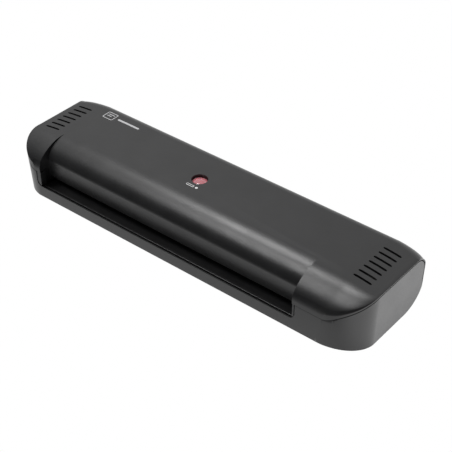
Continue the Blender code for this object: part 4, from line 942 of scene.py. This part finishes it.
dress(build_cover(), "cover_shell", "casing_plastic", ["top_cover"], 0.14, rim=0.72)
dress(build_base(), "base_tub", "casing_plastic", ["base_casing"], 0.16)
dress(build_tray(), "feed_tray", "tray_plastic", ["entry_tray"], 0.12)
dress(build_lens(), "lens_dome", "lens_red", ["ready_lens"])
for tag in ("front_left", "front_right", "rear_left", "rear_right"):
    foot, screw = "foot_" + tag, "cover_screw_" + tag
    dress(build_foot(foot), "pad_" + tag, "foot_rubber", [foot])
    dress(build_screw(screw), "screw_" + tag, "screw_zinc", [screw])

# print on the cover: a framed mark with two lines, a bar, and two marks by the window
# name, look, rounded rectangles as (x0, x1, y0, y1, corner radius), the second being a hole
PRINTS = (
    ("mark_outline", "pad_print",
     (-133.2, -122.8, 23.4, 32.6, 1.2), (-132.5, -123.5, 24.1, 31.9, 0.6)),
    ("mark_line_upper", "pad_print", (-131.2, -124.8, 29.4, 30.2, 0.3)),
    ("mark_line_lower", "pad_print", (-131.2, -126.6, 27.2, 28.0, 0.3)),
    ("mark_bar", "pad_print", (-119.6, -97.0, 26.9, 28.9, 0.9)),
    ("status_outline", "pad_print_white",
     (-19.4, -12.2, -5.1, -2.9, 1.0), (-18.9, -12.7, -4.6, -3.4, 0.55)),
    ("status_dot", "pad_print_white", (-10.9, -8.6, -5.1, -2.9, 1.1)),
)
for name, look, shape, *holes in PRINTS:
    outlines = [rounded(*shape)] + [rounded(*hole)[::-1] for hole in holes]
    dress(prism("Z", outlines, Z_TOP - 0.04, Z_TOP + 0.025), name, look)

# ---------------------------------------------------------------- stage, metres
ENV_DIM, ENV_BACK, ENV_TOP = 0.10, 0.78, 0.4     # room light in front, behind and overhead
FLOOR_NEAR, FLOOR_RIGHT, FLOOR_DARK = 1.0, 1.6, 0.05
WHITE = (1, 1, 1, 1)


def white_to_camera(nt, output, shader):
    """Plain white to the camera; returns the shader that everything else sees."""
    nt.nodes.clear()
    seen = node(nt, shader, (200, 150), Color=WHITE)
    lit = node(nt, shader, (200, -50), Color=WHITE)
    path = node(nt, "ShaderNodeLightPath", (0, 350))
    mix = node(nt, "ShaderNodeMixShader", (400, 0), path.outputs["Is Camera Ray"],
               lit.outputs[0], seen.outputs[0])
    node(nt, output, (600, 0), Surface=mix.outputs[0])
    return lit


def build_world():
    """White behind and to the left, dim towards the front and the right."""
    world = bpy.data.worlds.new("studio")
    SCENE.world = world
    world.use_nodes = True
    nt = world.node_tree
    lit = white_to_camera(nt, "ShaderNodeOutputWorld", "ShaderNodeBackground")
    direction = node(nt, "ShaderNodeTexCoord", (-1000, 0)).outputs["Generated"]
    back = node(nt, "ShaderNodeVectorMath", (-800, 150), direction, (-0.60, 0.80, 0.0),
                operation="DOT_PRODUCT")
    split = node(nt, "ShaderNodeSeparateXYZ", (-800, -150), direction)
    sky = spread(nt, back.outputs["Value"], ENV_DIM, ENV_BACK, (-600, 150), start=-0.05, end=0.45)
    top = spread(nt, split.outputs["Z"], 0.0, ENV_TOP, (-600, -150), start=0.55, end=0.95)
    feed(nt, lit.inputs["Strength"], calc(nt, "MAXIMUM", (-400, 0), sky, top))


def build_floor():
    """Its reflected light is dark in front of the casing and brighter past its right end."""
    floor = bpy.data.objects.new("floor", bpy.data.meshes.new("floor"))
    bm = bmesh.new()
    bmesh.ops.create_grid(bm, x_segments=1, y_segments=1, size=6.0)
    bm.to_mesh(floor.data)
    bm.free()
    SCENE.collection.objects.link(floor)
    mat = bpy.data.materials.new("floor_white")
    mat.use_nodes = True
    nt = mat.node_tree
    lit = white_to_camera(nt, "ShaderNodeOutputMaterial", "ShaderNodeEmission")
    coords = node(nt, "ShaderNodeTexCoord", (-1200, 0))
    split = node(nt, "ShaderNodeSeparateXYZ", (-1000, 0), coords.outputs["Object"])
    front = spread(nt, split.outputs["Y"], FLOOR_DARK, FLOOR_NEAR, (-800, 100),
                   start=-0.150, end=-0.060)
    right = spread(nt, split.outputs["X"], 0.0, FLOOR_RIGHT - FLOOR_NEAR, (-800, -100),
                   start=0.150, end=0.175)
    feed(nt, lit.inputs["Strength"], calc(nt, "ADD", (-500, 0), front, right))
    floor.data.materials.append(mat)


def aimed(name, data, at, direction):
    o = bpy.data.objects.new(name, data)
    SCENE.collection.objects.link(o)
    o.location = at
    o.rotation_euler = direction.to_track_quat("-Z", "Y").to_euler()
    return o


def overhead(name, x, y, size_x, size_y, radiance):
    """A rectangular light facing straight down."""
    light = bpy.data.lights.new(name, "AREA")
    light.shape = "RECTANGLE"
    light.size, light.size_y = size_x, size_y
    light.energy = radiance * math.pi * light.size * light.size_y
    aimed(name, light, (x, y, 1.05), Vector((0, 0, -1))).visible_camera = False


def build_camera():
    camera = bpy.data.cameras.new("camera")
    camera.lens = 93.87
    camera.sensor_width = 36.0
    camera.sensor_fit = "HORIZONTAL"
    camera.shift_x, camera.shift_y = -0.0011062, 0.0011062
    camera.clip_start, camera.clip_end = 0.01, 20.0
    turn, rise = math.radians(39.13), math.radians(37.705)  # right of the front, above level
    target, distance = Vector((18.40, -3.15, 22.80)) * MM, 0.87639
    away = Vector((math.sin(turn) * math.cos(rise), -math.cos(turn) * math.cos(rise),
                   math.sin(rise)))
    SCENE.camera = aimed("camera", camera, target + away * distance, -away)


build_world()
build_floor()
overhead("overhead_back", x=-0.475, y=0.215, size_x=0.26, size_y=0.34, radiance=15.5)
overhead("overhead_front", x=-0.47, y=-0.37, size_x=0.32, size_y=0.56, radiance=8.6)
build_camera()
SCENE.view_settings.view_transform = "Standard"
SCENE.view_settings.look = "None"

bpy.context.view_layer.update()
